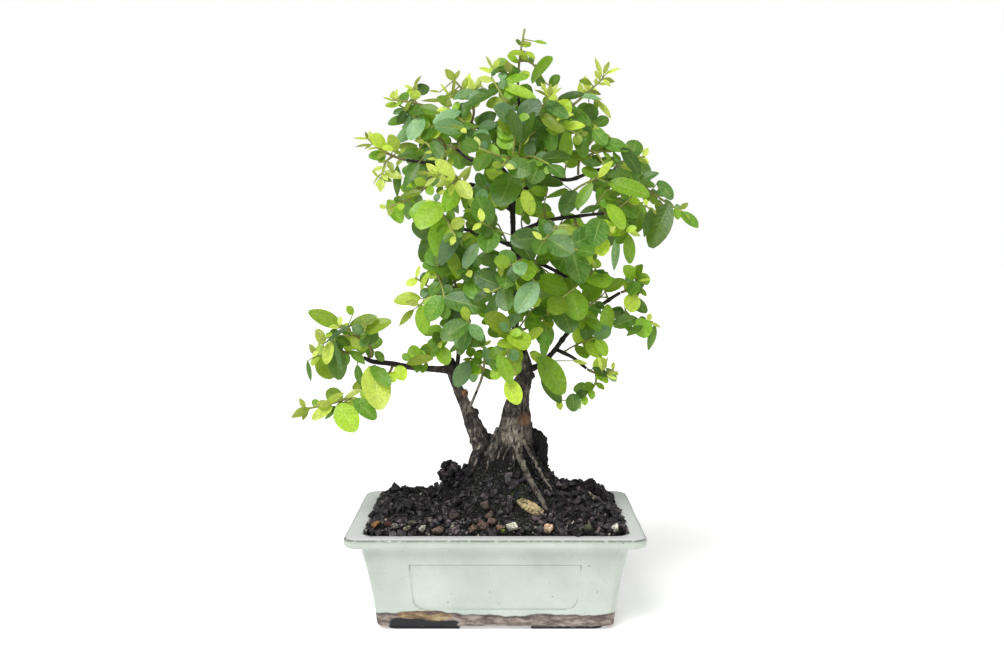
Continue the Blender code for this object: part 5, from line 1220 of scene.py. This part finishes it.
def glazedStoneware():
    # Stoneware dipped in a pale celadon glaze and fired: glossy, finely crackled, thin and brown where it
    # runs off the lip's edge, and bare purple-brown clay round the foot, where it was wiped for the kiln
    # shelf
    look = potLook
    made, shader, node = newFinish("celadonCrackleGlaze")
    here = node("TexCoord").outputs["Object"]
    up = node("SeparateXYZ", {}, {"Vector": here}).outputs["Z"]
    place = node("Attribute", {"attribute_name": "place"})
    edgeWear, soot, pool = node("SeparateColor", {}, {"Color": place}).outputs
    # clouds of thicker glaze, 28 mm wide
    cloud = node("TexNoise", {"Scale": 1 / (28 * mm), "Detail": 3.0}, {"Vector": here})
    glaze = node("ValToRGB", {}, {"Fac": cloud})
    setRamp(glaze, [(0.3, look["glazeDeep"]), (0.5, look["glaze"]), (0.72, look["glazePale"])])
    # crackle: cells 7 mm wide, bent by a little noise, with hair lines between them
    warp = node("TexNoise", {"Scale": 1 / (9 * mm), "Detail": 2.0}, {"Vector": here})
    shift = node("VectorMath", {"operation": "MULTIPLY_ADD", 1: (4 * mm, 4 * mm, 4 * mm)},
                 {0: warp.outputs["Color"], 2: here})
    cells = node("TexVoronoi", {"feature": "DISTANCE_TO_EDGE", "Scale": 1 / (7 * mm)}, {"Vector": shift})
    hair = node("MapRange", {"From Min": 0.004, "From Max": 0.03, "To Min": 0.16, "To Max": 0.0},
                {"Value": cells})
    # iron specks under 1 mm, one to each 7 mm or so
    speck = node("TexVoronoi", {"Scale": 1 / (7 * mm)}, {"Vector": here})
    speckShare = node("MapRange", {"From Min": 0.035, "From Max": 0.07, "To Min": 0.8, "To Max": 0.0},
                      {"Value": speck})
    # the flat top of the rim is painted paler: a painted highlight. Its edges, where the glaze drew back,
    # are marked on the mesh
    flatFace = node("MapRange", {"From Min": 56.2 * mm, "From Max": 56.8 * mm}, {"Value": up})
    ragged = node("TexNoise", {"Scale": 1 / (3 * mm), "Detail": 4.0}, {"Vector": here})
    raggedShare = node("MapRange", {"From Min": 0.28, "From Max": 0.46}, {"Value": ragged})
    wear = node("Math", {"operation": "MULTIPLY"}, {0: edgeWear, 1: raggedShare})
    for share, over in ((hair, "crackle"), (speckShare, "speck"), (flatFace, "rimGlaze"),
                        (place.outputs["Alpha"], "groove"), (wear, "rimWear")):
        glaze = node("Mix", {"data_type": "RGBA", 7: hexLinear(look[over])}, {0: share, 6: glaze})
    # bare clay below a line that wanders, streaked along the foot and dark just under the glaze
    wander = node("TexNoise", {"Scale": 1 / (16 * mm), "Detail": 4.0}, {"Vector": here})
    line = node("Math", {"operation": "MULTIPLY_ADD", 1: 6 * mm}, {0: wander, 2: up})
    edge = (look["bareHigh"] + 3.0) * mm
    bare = node("MapRange", {"From Min": edge - 0.4 * mm, "From Max": edge + 0.4 * mm, "To Min": 1.0,
                             "To Max": 0.0}, {"Value": line})
    under = node("MapRange", {"From Min": edge - 1.8 * mm, "From Max": edge - 0.4 * mm, "To Max": 0.7},
                 {"Value": line})
    streaks = node("Mapping", {"Scale": (1.0, 1.0, 3.0)}, {"Vector": here})
    clayNoise = node("TexNoise", {"Scale": 1 / (9 * mm), "Detail": 6.0, "Roughness": 0.62},
                     {"Vector": streaks})
    clay = node("ValToRGB", {}, {"Fac": clayNoise})
    setRamp(clay, [(0.38, look["clayDark"]), (0.49, look["clay"]), (0.61, look["clayPale"])])
    # soot on the left of the foot, and painted contact shade at the bottom of the feet
    sootFlow = node("Math", {"operation": "MULTIPLY_ADD", 1: 0.9}, {0: ragged, 2: soot})
    sootShare = node("MapRange", {"From Min": 0.86, "From Max": 1.02}, {"Value": sootFlow})
    for share, over in ((sootShare, "soot"), (under, "clayLine")):
        clay = node("Mix", {"data_type": "RGBA", 7: hexLinear(look[over])}, {0: share, 6: clay})
    # a pool of ochre glaze over the band, left of the front, pale at its edge
    poolFlow = node("Math", {"operation": "MULTIPLY_ADD", 1: 1.5}, {0: wander, 2: pool})
    poolShare = node("MapRange", {"From Min": 1.12, "From Max": 1.22}, {"Value": poolFlow})
    poolColour = node("ValToRGB", {}, {"Fac": clayNoise})
    setRamp(poolColour, [(0.38, look["clayDark"]), (0.5, look["pool"]), (0.62, look["poolEdge"])])
    for share, over in ((bare, clay), (poolShare, poolColour)):
        glaze = node("Mix", {"data_type": "RGBA"}, {0: share, 6: glaze, 7: over})
    rough = node("MapRange", {"To Min": 0.16, "To Max": 0.72}, {"Value": bare})
    orangePeel = node("TexNoise", {"Scale": 1 / (5 * mm), "Detail": 2.0}, {"Vector": here})
    height = node("Math", {"operation": "MULTIPLY_ADD", 1: -0.25}, {0: hair, 2: orangePeel})
    bump = node("Bump", {"Strength": 0.25, "Distance": 0.5 * mm}, {"Height": height})
    node(shader, {"IOR": 1.52}, {"Base Color": glaze, "Roughness": rough, "Normal": bump})
    return made


def panelDepth(x, z):
    # 0 outside the shallow panel, 1 inside it, with a soft edge and round lower corners
    look = potLook
    share = (z - look["panelLow"]) / (look["panelHigh"] - look["panelLow"])
    half = look["panelFoot"] + (look["panelTop"] - look["panelFoot"]) * share
    side, low, high = half - abs(x), z - look["panelLow"], look["panelHigh"] - z
    r = look["panelRound"]
    inside = r - math.hypot(r - side, r - low) if side < r and low < r else min(side, low)
    return smoothStep(-0.5, 0.5, min(inside, high))


def potRing(inset, z):
    # one level of the pot: fixed columns across the panel, the rest spread over the sides and corners
    look = potLook
    halfX, halfY = look["length"] / 2 - inset, look["depth"] / 2 - inset
    radius = max(look["corner"] - max(inset - 8.0, 0.0) * 0.25, 2.0)
    corner = halfX - radius
    dense = evenSteps(38, 1.2, 5) + evenSteps(44, 0.45, 13)
    ends = [50.4 + (corner - 50.4) * k / 4 for k in (1, 2, 3)]
    longSide = ([-x for x in reversed(ends)] + [-x for x in reversed(dense)] + evenSteps(-32, 6.4, 11)
                + dense + ends)
    shortSide = [(halfY - radius) * (-1 + 2 * k / 14) for k in range(1, 14)]
    sides = ([(x, halfY) for x in reversed(longSide)], [(-halfX, y) for y in reversed(shortSide)],
             [(x, -halfY) for x in longSide], [(halfX, y) for y in shortSide])
    quarter = [(math.cos(math.radians(90 * k / 8)), math.sin(math.radians(90 * k / 8))) for k in range(9)]
    ring = []
    for (sx, sy), side in zip(((1, 1), (-1, 1), (-1, -1), (1, -1)), sides):
        arc = quarter if sx == sy else [(s, c) for c, s in quarter]
        ring += [(sx * (corner + radius * c), sy * (halfY - radius + radius * s)) for c, s in arc] + side
    return [(x, y, z) for x, y in ring]


def potMarks(point, part):
    # how much the glaze drew back, how sooty the foot is, with painted shade at the bottom of the feet,
    # where the ochre pool lies, and the panel's edge
    x, y, z = point
    # the glaze drew back most at the rim's outer edge; the same mark darkens a little just under the lip
    wear = max(1.15 - abs(z - 56.2) / 0.6, 0.3 * (1 - abs(z - 51.4) / 0.8)) if part == "lip" else 0.0
    slant = 7.2 - 0.04 * (x + 58) + 1.4 * noise.noise(Vector((x * 0.2, y * 0.2, 3.0)))
    soot = (smoothStep(-63, -57, x) * (1 - smoothStep(-27, -17, x)) * smoothStep(slant + 1.2, slant - 1.0, z)
            * (1.0 if y < 0 else 0.4))
    # the feet's points below 1 mm are darkened too: painted contact shade where they stand on the floor
    if z < 1.0:
        soot = max(soot, 0.8)
    pool = (smoothStep(-66, -50, x) * (1 - smoothStep(-34, -14, x)) * smoothStep(slant - 0.8, slant + 1.6, z)
            * (1 - smoothStep(9.8, 13.2, z)))
    # glaze lies thin, so the clay shows dark, along the panel's top and round its lower corners
    groove = 1 - abs(2 * panelDepth(x, z) - 1) if part == "wall" and abs(y) > 30 else 0.0
    strong = 1.0 if z > 36 else 0.9 * smoothStep(24, 14, z) * (1.0 if abs(x) > 34 else 0.65)
    return (min(max(wear, 0.0), 1.0), soot, pool if y < -30 else 0.0, groove * max(strong, 0.12))


def makePot():
    look = potLook
    rows, levels = look["outside"], []
    for z in look["levels"]:
        i0, z0, i1, z1 = next((*low, *high) for low, high in zip(rows, rows[1:]) if low[1] <= z <= high[1])
        levels.append((i0 + (i1 - i0) * (z - z0) / (z1 - z0), z, "wall"))
    levels += [(*row, part) for part in ("lip", "inside") for row in look[part]]
    rings, marks = [], []
    for inset, z, part in levels:
        ring = []
        for x, y, _ in potRing(inset, z):
            if part == "wall" and abs(x) < look["panelColumns"]:
                y -= math.copysign(look["panelSink"] * panelDepth(x, z), y) if abs(y) > 30 else 0.0
            # hand-pressed walls: nothing is quite straight
            p = Vector((x, y, z))
            sway = 0.25 * noise.noise(p * 0.03) + 0.12 * noise.noise(p * 0.12)
            settle = 0.15 if z > 56.8 else 0.0
            ring.append((x * (1 + sway / 90 - 0.0025), y * (1 + sway / 65 - 0.0035), z - settle))
            marks.append(potMarks((x, y, z), part))
        rings.append(ring)
    points, faces = loft(rings)
    # an L under each corner, its edges rounded off
    outer, inner, gap = look["footOuter"], look["footInner"], look["footGap"]
    plan = [(gap[0], inner[1]), (gap[0], outer[1]), (outer[0] - 4, outer[1]),
            (outer[0] - 1.2, outer[1] - 1.2), (outer[0], outer[1] - 4), (outer[0], gap[1]),
            (inner[0], gap[1]), (inner[0], inner[1])]
    cx, cy = (gap[0] + outer[0]) / 2, (gap[1] + outer[1]) / 2
    for sx, sy in ((-1, -1), (-1, 1), (1, -1), (1, 1)):
        rings = []
        for z, shrink in ((0.0, 0.6), (0.5, 0.0), (look["footHigh"], 0.0)):
            ring = [(sx * (px - math.copysign(shrink, px - cx)),
                     sy * (py - math.copysign(shrink, py - cy)), z) for px, py in plan]
            rings.append(ring if sx * sy < 0 else ring[::-1])
        foot = loft(rings)
        joinPart(points, faces, foot)
        marks += [potMarks(p, "foot") for p in foot[0]]
    pot = addPiece("glazedPot", points, faces, [glazedStoneware()], ["pot"], marks)
    pot.data.set_sharp_from_angle(angle=math.radians(40))


makePot()
print("pot made")


# Soil

soilLook = {
    "halfX": 73.4, "halfY": 49.4, "corner": 8.0, "spacing": 1.15, "crumb": 1.1, "fineCrumb": 0.55,
    # down its sides: height, and share of the top's size
    "skirt": ((52.0, 0.975), (25.0, 0.9), (9.2, 0.84)),
    # the peat's colours, darkened also to paint the shade in the gaps between the bits lying on it
    "wet": "#070607", "dark": "#100e10", "brown": "#211c1e",
    "moss": "#262e1c", "mossSpot": (13.0, -27.5, 69.0),
    "flake": "#9c8c66",
    # how far bits are strewn, and two ovals that stay clear of them: the trunk's mound and the bark flake
    "reach": (74.2, 50.4), "trunkOval": (6, 1, 27, 22), "flakeOval": (20, -34.5, 8.0, 5.5),
    # how many broken shapes each kind has, and the points that each is the hull of
    "shapes": 26, "corners": 14,
    # for each kind: how many, longest side in mm (least, most), thickness beside length, share sunk, tilt,
    # whether it gathers along the front edge, then its colours and how often each comes
    "lumps": {"count": 1900, "size": (1.8, 7.8), "flat": 0.6, "sunk": 0.3, "tilt": 0.7, "edge": False,
              "colours": [("#120f13", 10), ("#1b171c", 8), ("#252026", 6), ("#332c32", 4), ("#433a3e", 1.6),
                          ("#5a4e4e", 0.8)]},
    "splinters": {"count": 900, "size": (2.0, 7.0), "flat": 0.3, "sunk": 0.2, "tilt": 0.5, "edge": False,
                  "colours": [("#151216", 6), ("#201b20", 6), ("#2e2729", 4), ("#43373a", 1.6),
                              ("#5e4d48", 0.8)]},
    "edgeBits": {"count": 620, "size": (1.8, 6.4), "flat": 0.62, "sunk": 0.15, "tilt": 0.8, "edge": True,
                 "colours": [("#201c20", 6), ("#383135", 3.4), ("#50464a", 2.4), ("#64585a", 1.3),
                             ("#7f776f", 0.6), ("#454838", 0.4)]},
    "grit": {"count": 70, "size": (1.2, 2.8), "flat": 0.8, "sunk": 0.2, "tilt": 0.8, "edge": True,
             "colours": [("#8f887b", 2), ("#bdb8aa", 2), ("#d8d4c8", 1)]},
    # crumbs and moss that climb the foot of the wood
    "crumbs": {"count": 13000, "size": (0.8, 2.1), "mossCount": 260, "top": 108, "drop": 46, "aside": 34,
               "front": 0.45, "line": 101.0,
               "colours": [("#100f10", 6), ("#1c1c1b", 5), ("#252724", 4), ("#20251b", 3), ("#2b331f", 0.8),
                           ("#45423f", 2), ("#7c7a72", 0.3)],
               "mossColours": [("#1f2617", 3), ("#2c361c", 3), ("#3c4a24", 1)]},
    # share of the edge bits that gather in a strip along the front and how wide it is, how dark a wet stone
    # is beside its colour when dry, and the bumps of a clinker
    "gather": 0.7, "strip": 6.5, "stoneLevel": 0.78, "bumps": 110,
    # stones, bark and root pieces seen along the front: x, y, length, thickness beside length, turn, colour
    "stones": [(9.4, -47.2, 6.4, 0.8, 10, "#c4c1ae"), (29.8, -47.6, 6.6, 0.75, -8, "#c8a98d"),
               (68.2, -46.4, 5.4, 0.8, 20, "#cfcdbf"), (52.4, -46.0, 6.6, 0.8, 0, "#5f6549"),
               (-56.5, -45.0, 4.8, 0.8, 0, "#88827a"), (-41.0, -47.6, 4.6, 0.9, 60, "#a39f94"),
               (-32.5, -47.8, 7.6, 0.55, 12, "#7d675e"), (-13.0, -47.4, 6.0, 0.7, 35, "#6e5c4e"),
               (-7.5, -44.6, 8.6, 0.6, -20, "#6a554b"), (-2.0, -42.4, 7.4, 0.7, 70, "#6b584e"),
               (-3.6, -37.4, 7.0, 0.6, 80, "#635449"), (-6.0, -31.0, 7.2, 0.6, 95, "#564a41"),
               (3.0, -46.6, 5.0, 0.8, 30, "#75604f"), (-67.0, -43.6, 7.6, 0.4, 32, "#94693e"),
               (-60.5, -42.2, 6.4, 0.5, -30, "#5b2e29"), (4.4, -48.2, 3.2, 0.8, 0, "#64752b"),
               (3.4, -34.4, 5.0, 0.6, 0, "#4f4c4b"), (-23.0, -37.6, 6.6, 0.6, 15, "#4a403c"),
               (-47.0, -43.0, 6.2, 0.55, -12, "#5d564c"), (-50.0, -46.8, 5.0, 0.7, 30, "#716a5c"),
               (61.0, -33.0, 5.4, 0.4, -50, "#5a4640"), (18.6, -47.8, 4.6, 0.8, 0, "#3d3f39"),
               (40.6, 0.5, 7.6, 0.55, 55, "#34302f")],
    # black clinker-like lumps, built of many bumps: middle and radius
    "clinkers": [((-27.4, -6.0, 83.4), 7.8), ((57.5, 11.0, 71.2), 4.6), ((63.0, 9.0, 69.2), 4.2),
                 ((52.0, 12.0, 70.2), 3.8), ((41.8, 4.0, 73.2), 3.2)],
}
mounds = [(6.0, 1.0, 35.0, 30.0, 27.0), (50.0, 18.0, 9.5, 14.0, 17.0), (-46.0, 10.0, 3.0, 20.0, 20.0),
          (24.0, -30.0, 3.0, 16.0, 14.0)]


def ground(x, y):
    # height of the soil under a point, by the solid's own rule
    inside = min(75.0 - abs(x), 51.0 - abs(y))
    height = 56.0 + 6.5 * (1 - math.exp(-max(inside, 0.0) / 6.0))
    fade = 1 - math.exp(-max(inside, 0.0) / 7.0)
    for mx, my, rise, sx, sy in mounds:
        height += fade * rise * math.exp(-(((x - mx) / sx) ** 2 + ((y - my) / sy) ** 2) ** 1.5)
    ripple = math.sin(0.37 * x + 1.1) * math.sin(0.41 * y + 0.4) + 0.7 * math.sin(0.83 * x - 0.5 * y + 2.0)
    return height + fade * 0.9 * ripple


def soilHeight(tree, x, y):
    # the solid's top, with the holes for the roots closed
    found = tree.ray_cast(Vector((x, y, 140.0)), Vector((0, 0, -1)))[0]
    floor = ground(x, y) - 0.6
    # the clod on the left stands on a narrow neck, which its ball hides from above
    neck = floor + max(0.0, 11.0 - 1.4 * math.hypot(x + 27, y + 4))
    top = max(found.z, floor) if found else floor
    if math.hypot(x + 27.4, y + 6) < 11:
        return min(top, neck)
    # the clods on the right are bare lumps, laid later
    return min(top, 71.4) if x > 40 and y > 6 else top


def peatMix():
    # Damp peat and bark mix: nearly black, its darkness partly painted shade for the gaps between the bits
    #     # on it; crumbly and dull, with a little green where it stays wet
    look = soilLook
    made, shader, node = newFinish("dampPeatMix")
    here = node("TexCoord").outputs["Object"]
    # crumbs 2.5 mm wide, painted darkest in their hollows: painted shade
    crumbs = node("TexNoise", {"Scale": 1 / (2.5 * mm), "Detail": 6.0, "Roughness": 0.65}, {"Vector": here})
    ramp = node("ValToRGB", {}, {"Fac": crumbs})
    setRamp(ramp, [(0.35, look["wet"]), (0.52, look["dark"]), (0.7, look["brown"])])
    away = node("VectorMath", {"operation": "DISTANCE", 1: Vector(look["mossSpot"]) * mm}, {0: here})
    moss = node("MapRange", {"From Min": 8 * mm, "From Max": 3 * mm, "To Max": 0.8}, {"Value": away})
    green = node("Mix", {"data_type": "RGBA", 7: hexLinear(look["moss"])}, {0: moss, 6: ramp})
    bump = node("Bump", {"Strength": 0.9, "Distance": 0.8 * mm}, {"Height": crumbs})
    node(shader, {"Roughness": 0.88, "Specular IOR Level": 0.3}, {"Base Color": green, "Normal": bump})
    return made


def brokenBits(name, roughness, pattern, relief):
    # Broken bits, each in the colour stored on its points, darker in the hollows of their grain and lighter
    #     # on its rises: painted shade and highlight over the bits' own mottling
    made, shader, node = newFinish(name)
    place = node("Attribute", {"attribute_name": "place"})
    here = node("TexCoord").outputs["Object"]
    grain = node("TexNoise", {"Scale": 1 / pattern, "Detail": 5.0}, {"Vector": here})
    # painted shade in the grain's hollows, painted highlight on its rises
    level = node("MapRange", {"From Min": 0.36, "From Max": 0.66, "To Min": 0.25, "To Max": 1.9},
                 {"Value": grain})
    tinted = node("VectorMath", {"operation": "SCALE"}, {0: place, "Scale": level})
    bump = node("Bump", {"Strength": 1.0, "Distance": relief}, {"Height": grain})
    node(shader, {"Roughness": roughness}, {"Base Color": tinted, "Normal": bump})
    return made


def makeSoil(tree):
    look = soilLook
    halfX, halfY, corner = look["halfX"], look["halfY"], look["corner"]
    nx, ny = int(2 * halfX / look["spacing"]), int(2 * halfY / look["spacing"])
    cx, cy = halfX - corner, halfY - corner
    points = []
    for j in range(ny + 1):
        for i in range(nx + 1):
            x, y = halfX * (2 * i / nx - 1), halfY * (2 * j / ny - 1)
            if abs(x) > cx and abs(y) > cy:
                # a square corner cell is drawn into the round one
                out = Vector((abs(x) - cx, abs(y) - cy))
                out *= max(out) / out.length
                x, y = math.copysign(cx + out.x, x), math.copysign(cy + out.y, y)
            z = soilHeight(tree, x, y)
            p = Vector((x, y, z))
            z += look["crumb"] * noise.noise(p * 0.35) + look["fineCrumb"] * noise.noise(p * 1.1)
            points.append((x, y, z))
    rows = [[j * (nx + 1) + i for i in range(nx + 1)] for j in range(ny + 1)]
    faces = [(low[i], low[i + 1], high[i + 1], high[i])
             for low, high in zip(rows, rows[1:]) for i in range(nx)]
    # the sides and underside, against the pot's inner wall and floor
    border = rows[0] + [row[-1] for row in rows[1:-1]] + rows[-1][::-1] + [row[0] for row in rows[-2:0:-1]]
    last = border
    for z, share in look["skirt"]:
        ring = []
        for k in border:
            ring.append(len(points))
            points.append((points[k][0] * share, points[k][1] * (share - 0.02), z))
        for k in range(len(border)):
            after = (k + 1) % len(border)
            faces.append((last[after], last[k], ring[k], ring[after]))
        last = ring
    faces.append(tuple(reversed(last)))
    addPiece("peatTop", points, faces, [peatMix()], ["soil"])


def shards(rng, kinds, flat, count):
    # a few broken shapes, 1 mm long, each the hull of a count of random points
    made = []
    for _ in range(kinds):
        hull = bmesh.new()
        for _ in range(count):
            hull.verts.new((rng.uniform(-0.5, 0.5), rng.uniform(-0.36, 0.36), rng.uniform(-0.5, 0.5) * flat))
        bmesh.ops.convex_hull(hull, input=hull.verts)
        loose = [v for v in hull.verts if not v.link_faces]
        bmesh.ops.delete(hull, geom=loose, context="VERTS")
        hull.verts.index_update()
        made.append(([v.co.copy() for v in hull.verts],
                     [tuple(v.index for v in f.verts) for f in hull.faces]))
        hull.free()
    return made


def pickColour(rng, colours):
    code = rng.choices([row[0] for row in colours], [row[1] for row in colours])[0]
    level = rng.uniform(0.8, 1.25)
    return tuple(c * level for c in hexLinear(code)[:3]) + (1.0,)


def addBit(sheet, shape, middle, turn, size, colour):
    points, faces, places = sheet
    offsets = [turn @ (v * size) for v in shape[0]]
    joinPart(points, faces, ([middle + v for v in offsets], shape[1]))
    # painted shade on its lower points, where it meets the soil, and a painted highlight on its upper ones
    levels = [0.3 + 1.1 * smoothStep(-0.35, 0.4, v.z / size) for v in offsets]
    places += [tuple(c * level for c in colour[:3]) + (1.0,) for level in levels]


def anySide(rng):
    return Vector([rng.gauss(0, 1) for _ in range(3)]).normalized()


def soilSlope(tree, x, y):
    return Vector((soilHeight(tree, x - 1, y) - soilHeight(tree, x + 1, y),
                   soilHeight(tree, x, y - 1) - soilHeight(tree, x, y + 1), 2.0)).normalized()


def insidePot(x, y):
    # the pot's round-cornered mouth, a little less than the soil in it
    return math.hypot(max(abs(x) - 66.4, 0), max(abs(y) - 42.4, 0)) < 7.8


def lyingOn(slope, angle):
    return Vector((0, 0, 1)).rotation_difference(slope).to_matrix() @ Matrix.Rotation(angle, 3, "Z")


def ovalShare(x, y, oval):
    return math.hypot((x - oval[0]) / oval[2], (y - oval[1]) / oval[3])


def scatter(tree, kind):
    # bits lying on the soil, each turned its own way
    look = soilLook[kind]
    edge, (least, most), (reachX, reachY) = look["edge"], look["size"], soilLook["reach"]
    rng = random.Random(kind)
    kinds = shards(rng, soilLook["shapes"], look["flat"], soilLook["corners"])
    sheet = ([], [], [])
    for _ in range(look["count"]):
        x, y = rng.uniform(-reachX, reachX), rng.uniform(-reachY, reachY)
        if edge and rng.random() < soilLook["gather"]:
            y = -reachY + abs(rng.gauss(0, soilLook["strip"]))
        if not insidePot(x, y):
            continue
        # fine crumbs, not lumps, cover the mound round the trunk
        if not edge and ovalShare(x, y, soilLook["trunkOval"]) < rng.uniform(0.85, 1.1):
            continue
        slope = soilSlope(tree, x, y)
        long = least + (most - least) * rng.random() ** 2.0
        if kind != "grit" and ovalShare(x, y, soilLook["flakeOval"]) < 1:
            continue
        if any(math.hypot(x - sx, y - sy) < 0.42 * stone + 0.25 * long
               for sx, sy, stone, *_ in soilLook["stones"]):
            continue
        lean = (slope + jolt(rng) * look["tilt"]).normalized()
        turn = lyingOn(lean, rng.uniform(0, 6.28))
        middle = Vector((x, y, soilHeight(tree, x, y))) + slope * long * look["flat"] * (0.5 - look["sunk"])
        addBit(sheet, rng.choice(kinds), middle, turn, long, pickColour(rng, look["colours"]))
    return sheet


def layStones(tree):
    # the stones, bark and root pieces of the front, then the clinkers, each a ball of bumps
    rng = random.Random("stones")
    sheet = ([], [], [])
    for x, y, long, flat, turned, code in soilLook["stones"]:
        shape = shards(rng, 1, flat, 26)[0]
        slope = soilSlope(tree, x, y)
        turn = lyingOn(slope, math.radians(turned))
        middle = Vector((x, y, soilHeight(tree, x, y))) + slope * (long * flat * 0.3 + 0.4)
        colour = [soilLook["stoneLevel"] * c for c in hexLinear(code)]
        addBit(sheet, shape, middle, turn, long, colour)
    for middle, radius in soilLook["clinkers"]:
        kinds = shards(rng, 8, 0.8, 22)
        for _ in range(soilLook["bumps"]):
            out = anySide(rng)
            turn = Matrix.Rotation(rng.uniform(0, 6.28), 3, out)
            size = rng.uniform(0.3, 0.56) * radius
            addBit(sheet, rng.choice(kinds), Vector(middle) + out * (radius - size * 0.45), turn, size,
                   pickColour(rng, soilLook["lumps"]["colours"][:5]))
    return sheet


def climbCrumbs(tree, woodTree):
    # crumbs and moss over the mound and up the foot of the wood, found by looking in from all round
    look = soilLook["crumbs"]
    least, most = look["size"]
    rng = random.Random("crumbs")
    kinds = shards(rng, 12, 0.8, 9)
    nearestWood = woodFinder()
    sheet = ([], [], [])
    for _ in range(look["count"]):
        angle, off = rng.uniform(0, 2 * math.pi), rng.uniform(-look["aside"], look["aside"])
        z = look["top"] - look["drop"] * rng.random() ** 0.8
        if rng.random() < look["front"]:
            angle = -math.pi / 2 + rng.uniform(-0.5, 0.5)
        out = Vector((math.cos(angle), math.sin(angle), 0))
        side = Vector((-math.sin(angle), math.cos(angle), 0))
        start = Vector((6, 0, z)) + out * 60 + side * off
        aim = (-out + Vector((0, 0, -0.35))).normalized()
        hits = [(t.ray_cast(start, aim), t) for t in (tree, woodTree)]
        hits = [(hit[3], hit[0], hit[1], t) for hit, t in hits if hit[0]]
        if not hits:
            continue
        _, spot, normal, t = min(hits, key=lambda row: row[0])
        if t is tree and spot.z > soilHeight(tree, spot.x, spot.y) + 0.8:
            continue
        owner, _ = nearestWood(spot)
        line = look["line"] + 5.0 * noise.noise(spot * 0.2) - woodLook["clear"].get(owner, 0.0) * 0.8
        if (t is woodTree and (owner == "root_front" or spot.z > line)) or not insidePot(spot.x, spot.y):
            continue
        turn = Matrix.Rotation(rng.uniform(0, 6.28), 3, anySide(rng))
        size = least + (most - least) * rng.random() ** 1.6
        shape = rng.choice(kinds)
        addBit(sheet, shape, spot + normal * size * 0.1, turn, size, pickColour(rng, look["colours"]))
    # one small cushion of moss in front of the trunk
    for _ in range(look["mossCount"]):
        x, y = rng.gauss(soilLook["mossSpot"][0], 2.6), rng.gauss(soilLook["mossSpot"][1], 2.2)
        size = rng.uniform(0.7, 1.6)
        turn = Matrix.Rotation(rng.uniform(0, 6.28), 3, anySide(rng))
        shape = rng.choice(kinds)
        middle = Vector((x, y, soilHeight(tree, x, y) + rng.uniform(0.2, 1.6)))
        addBit(sheet, shape, middle, turn, size, pickColour(rng, look["mossColours"]))
    return sheet


def makeFlake():
    # a split chip of bark on the slope, its layers showing at the rim
    work = bmesh.new()
    work.from_mesh(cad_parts["bark_flake"].data)
    bmesh.ops.remove_doubles(work, verts=work.verts, dist=0.01 * mm)
    bmesh.ops.subdivide_edges(work, edges=work.edges, cuts=4, use_grid_fill=True)
    work.normal_update()
    points = []
    for vert in work.verts:
        p = vert.co / mm
        layers = noise.noise(Vector((p.x * 0.4, p.y * 1.3, p.z * 2.5)))
        points.append(p + vert.normal * (0.35 * layers - 0.05))
    faces = [tuple(v.index for v in face.verts) for face in work.faces]
    work.free()
    # pale inner bark, darker towards its broken ends
    middle = sum(points, Vector()) / len(points)
    inner = hexLinear(soilLook["flake"])[:3]
    places = [tuple(c * (1.1 - 0.055 * (p - middle).length) for c in inner) + (1.0,) for p in points]
    splitBark = brokenBits("splitBarkFlake", 0.75, 1.4 * mm, 0.4 * mm)
    addPiece("barkFlake", points, faces, [splitBark], ["bark_flake"], places, smooth=False)


def meshPlastic():
    # Moulded polyethylene netting over the drain holes: dull, near-black
    made, shader, node = newFinish("mouldedPolyethylene")
    here = node("TexCoord").outputs["Object"]
    fine = node("TexNoise", {"Scale": 1 / (1.5 * mm), "Detail": 2.0}, {"Vector": here})
    ramp = node("ValToRGB", {}, {"Fac": fine})
    setRamp(ramp, [(0.3, "#17191a"), (0.7, "#24272a")])
    node(shader, {"Roughness": 0.5}, {"Base Color": ramp})
    for name in ("drain_mesh_left", "drain_mesh_right"):
        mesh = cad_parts[name].data
        mesh.materials.clear()
        mesh.materials.append(made)


soilTree, woodTree = solidTree("soil"), solidTree("trunk")
makeSoil(soilTree)
barkBits = brokenBits("brokenBarkMix", 0.5, 2.6 * mm, 1.0 * mm)
for name, sheet, finish in (
        ("barkLumps", scatter(soilTree, "lumps"), barkBits),
        ("barkSplinters", scatter(soilTree, "splinters"), barkBits),
        ("edgeBits", scatter(soilTree, "edgeBits"), barkBits),
        ("frontStones", layStones(soilTree), brokenBits("weatheredPumiceAndBark", 0.85, 1.2 * mm, 0.5 * mm)),
        ("mossCrumbs", climbCrumbs(soilTree, woodTree),
         brokenBits("dampMossCrumbs", 0.9, 0.7 * mm, 0.3 * mm)),
        ("pumiceGrit", scatter(soilTree, "grit"), brokenBits("pumiceGrains", 0.9, 0.8 * mm, 0.3 * mm))):
    addPiece(name, sheet[0], sheet[1], [finish], (), sheet[2], smooth=False)
makeFlake()
meshPlastic()
print("soil made")
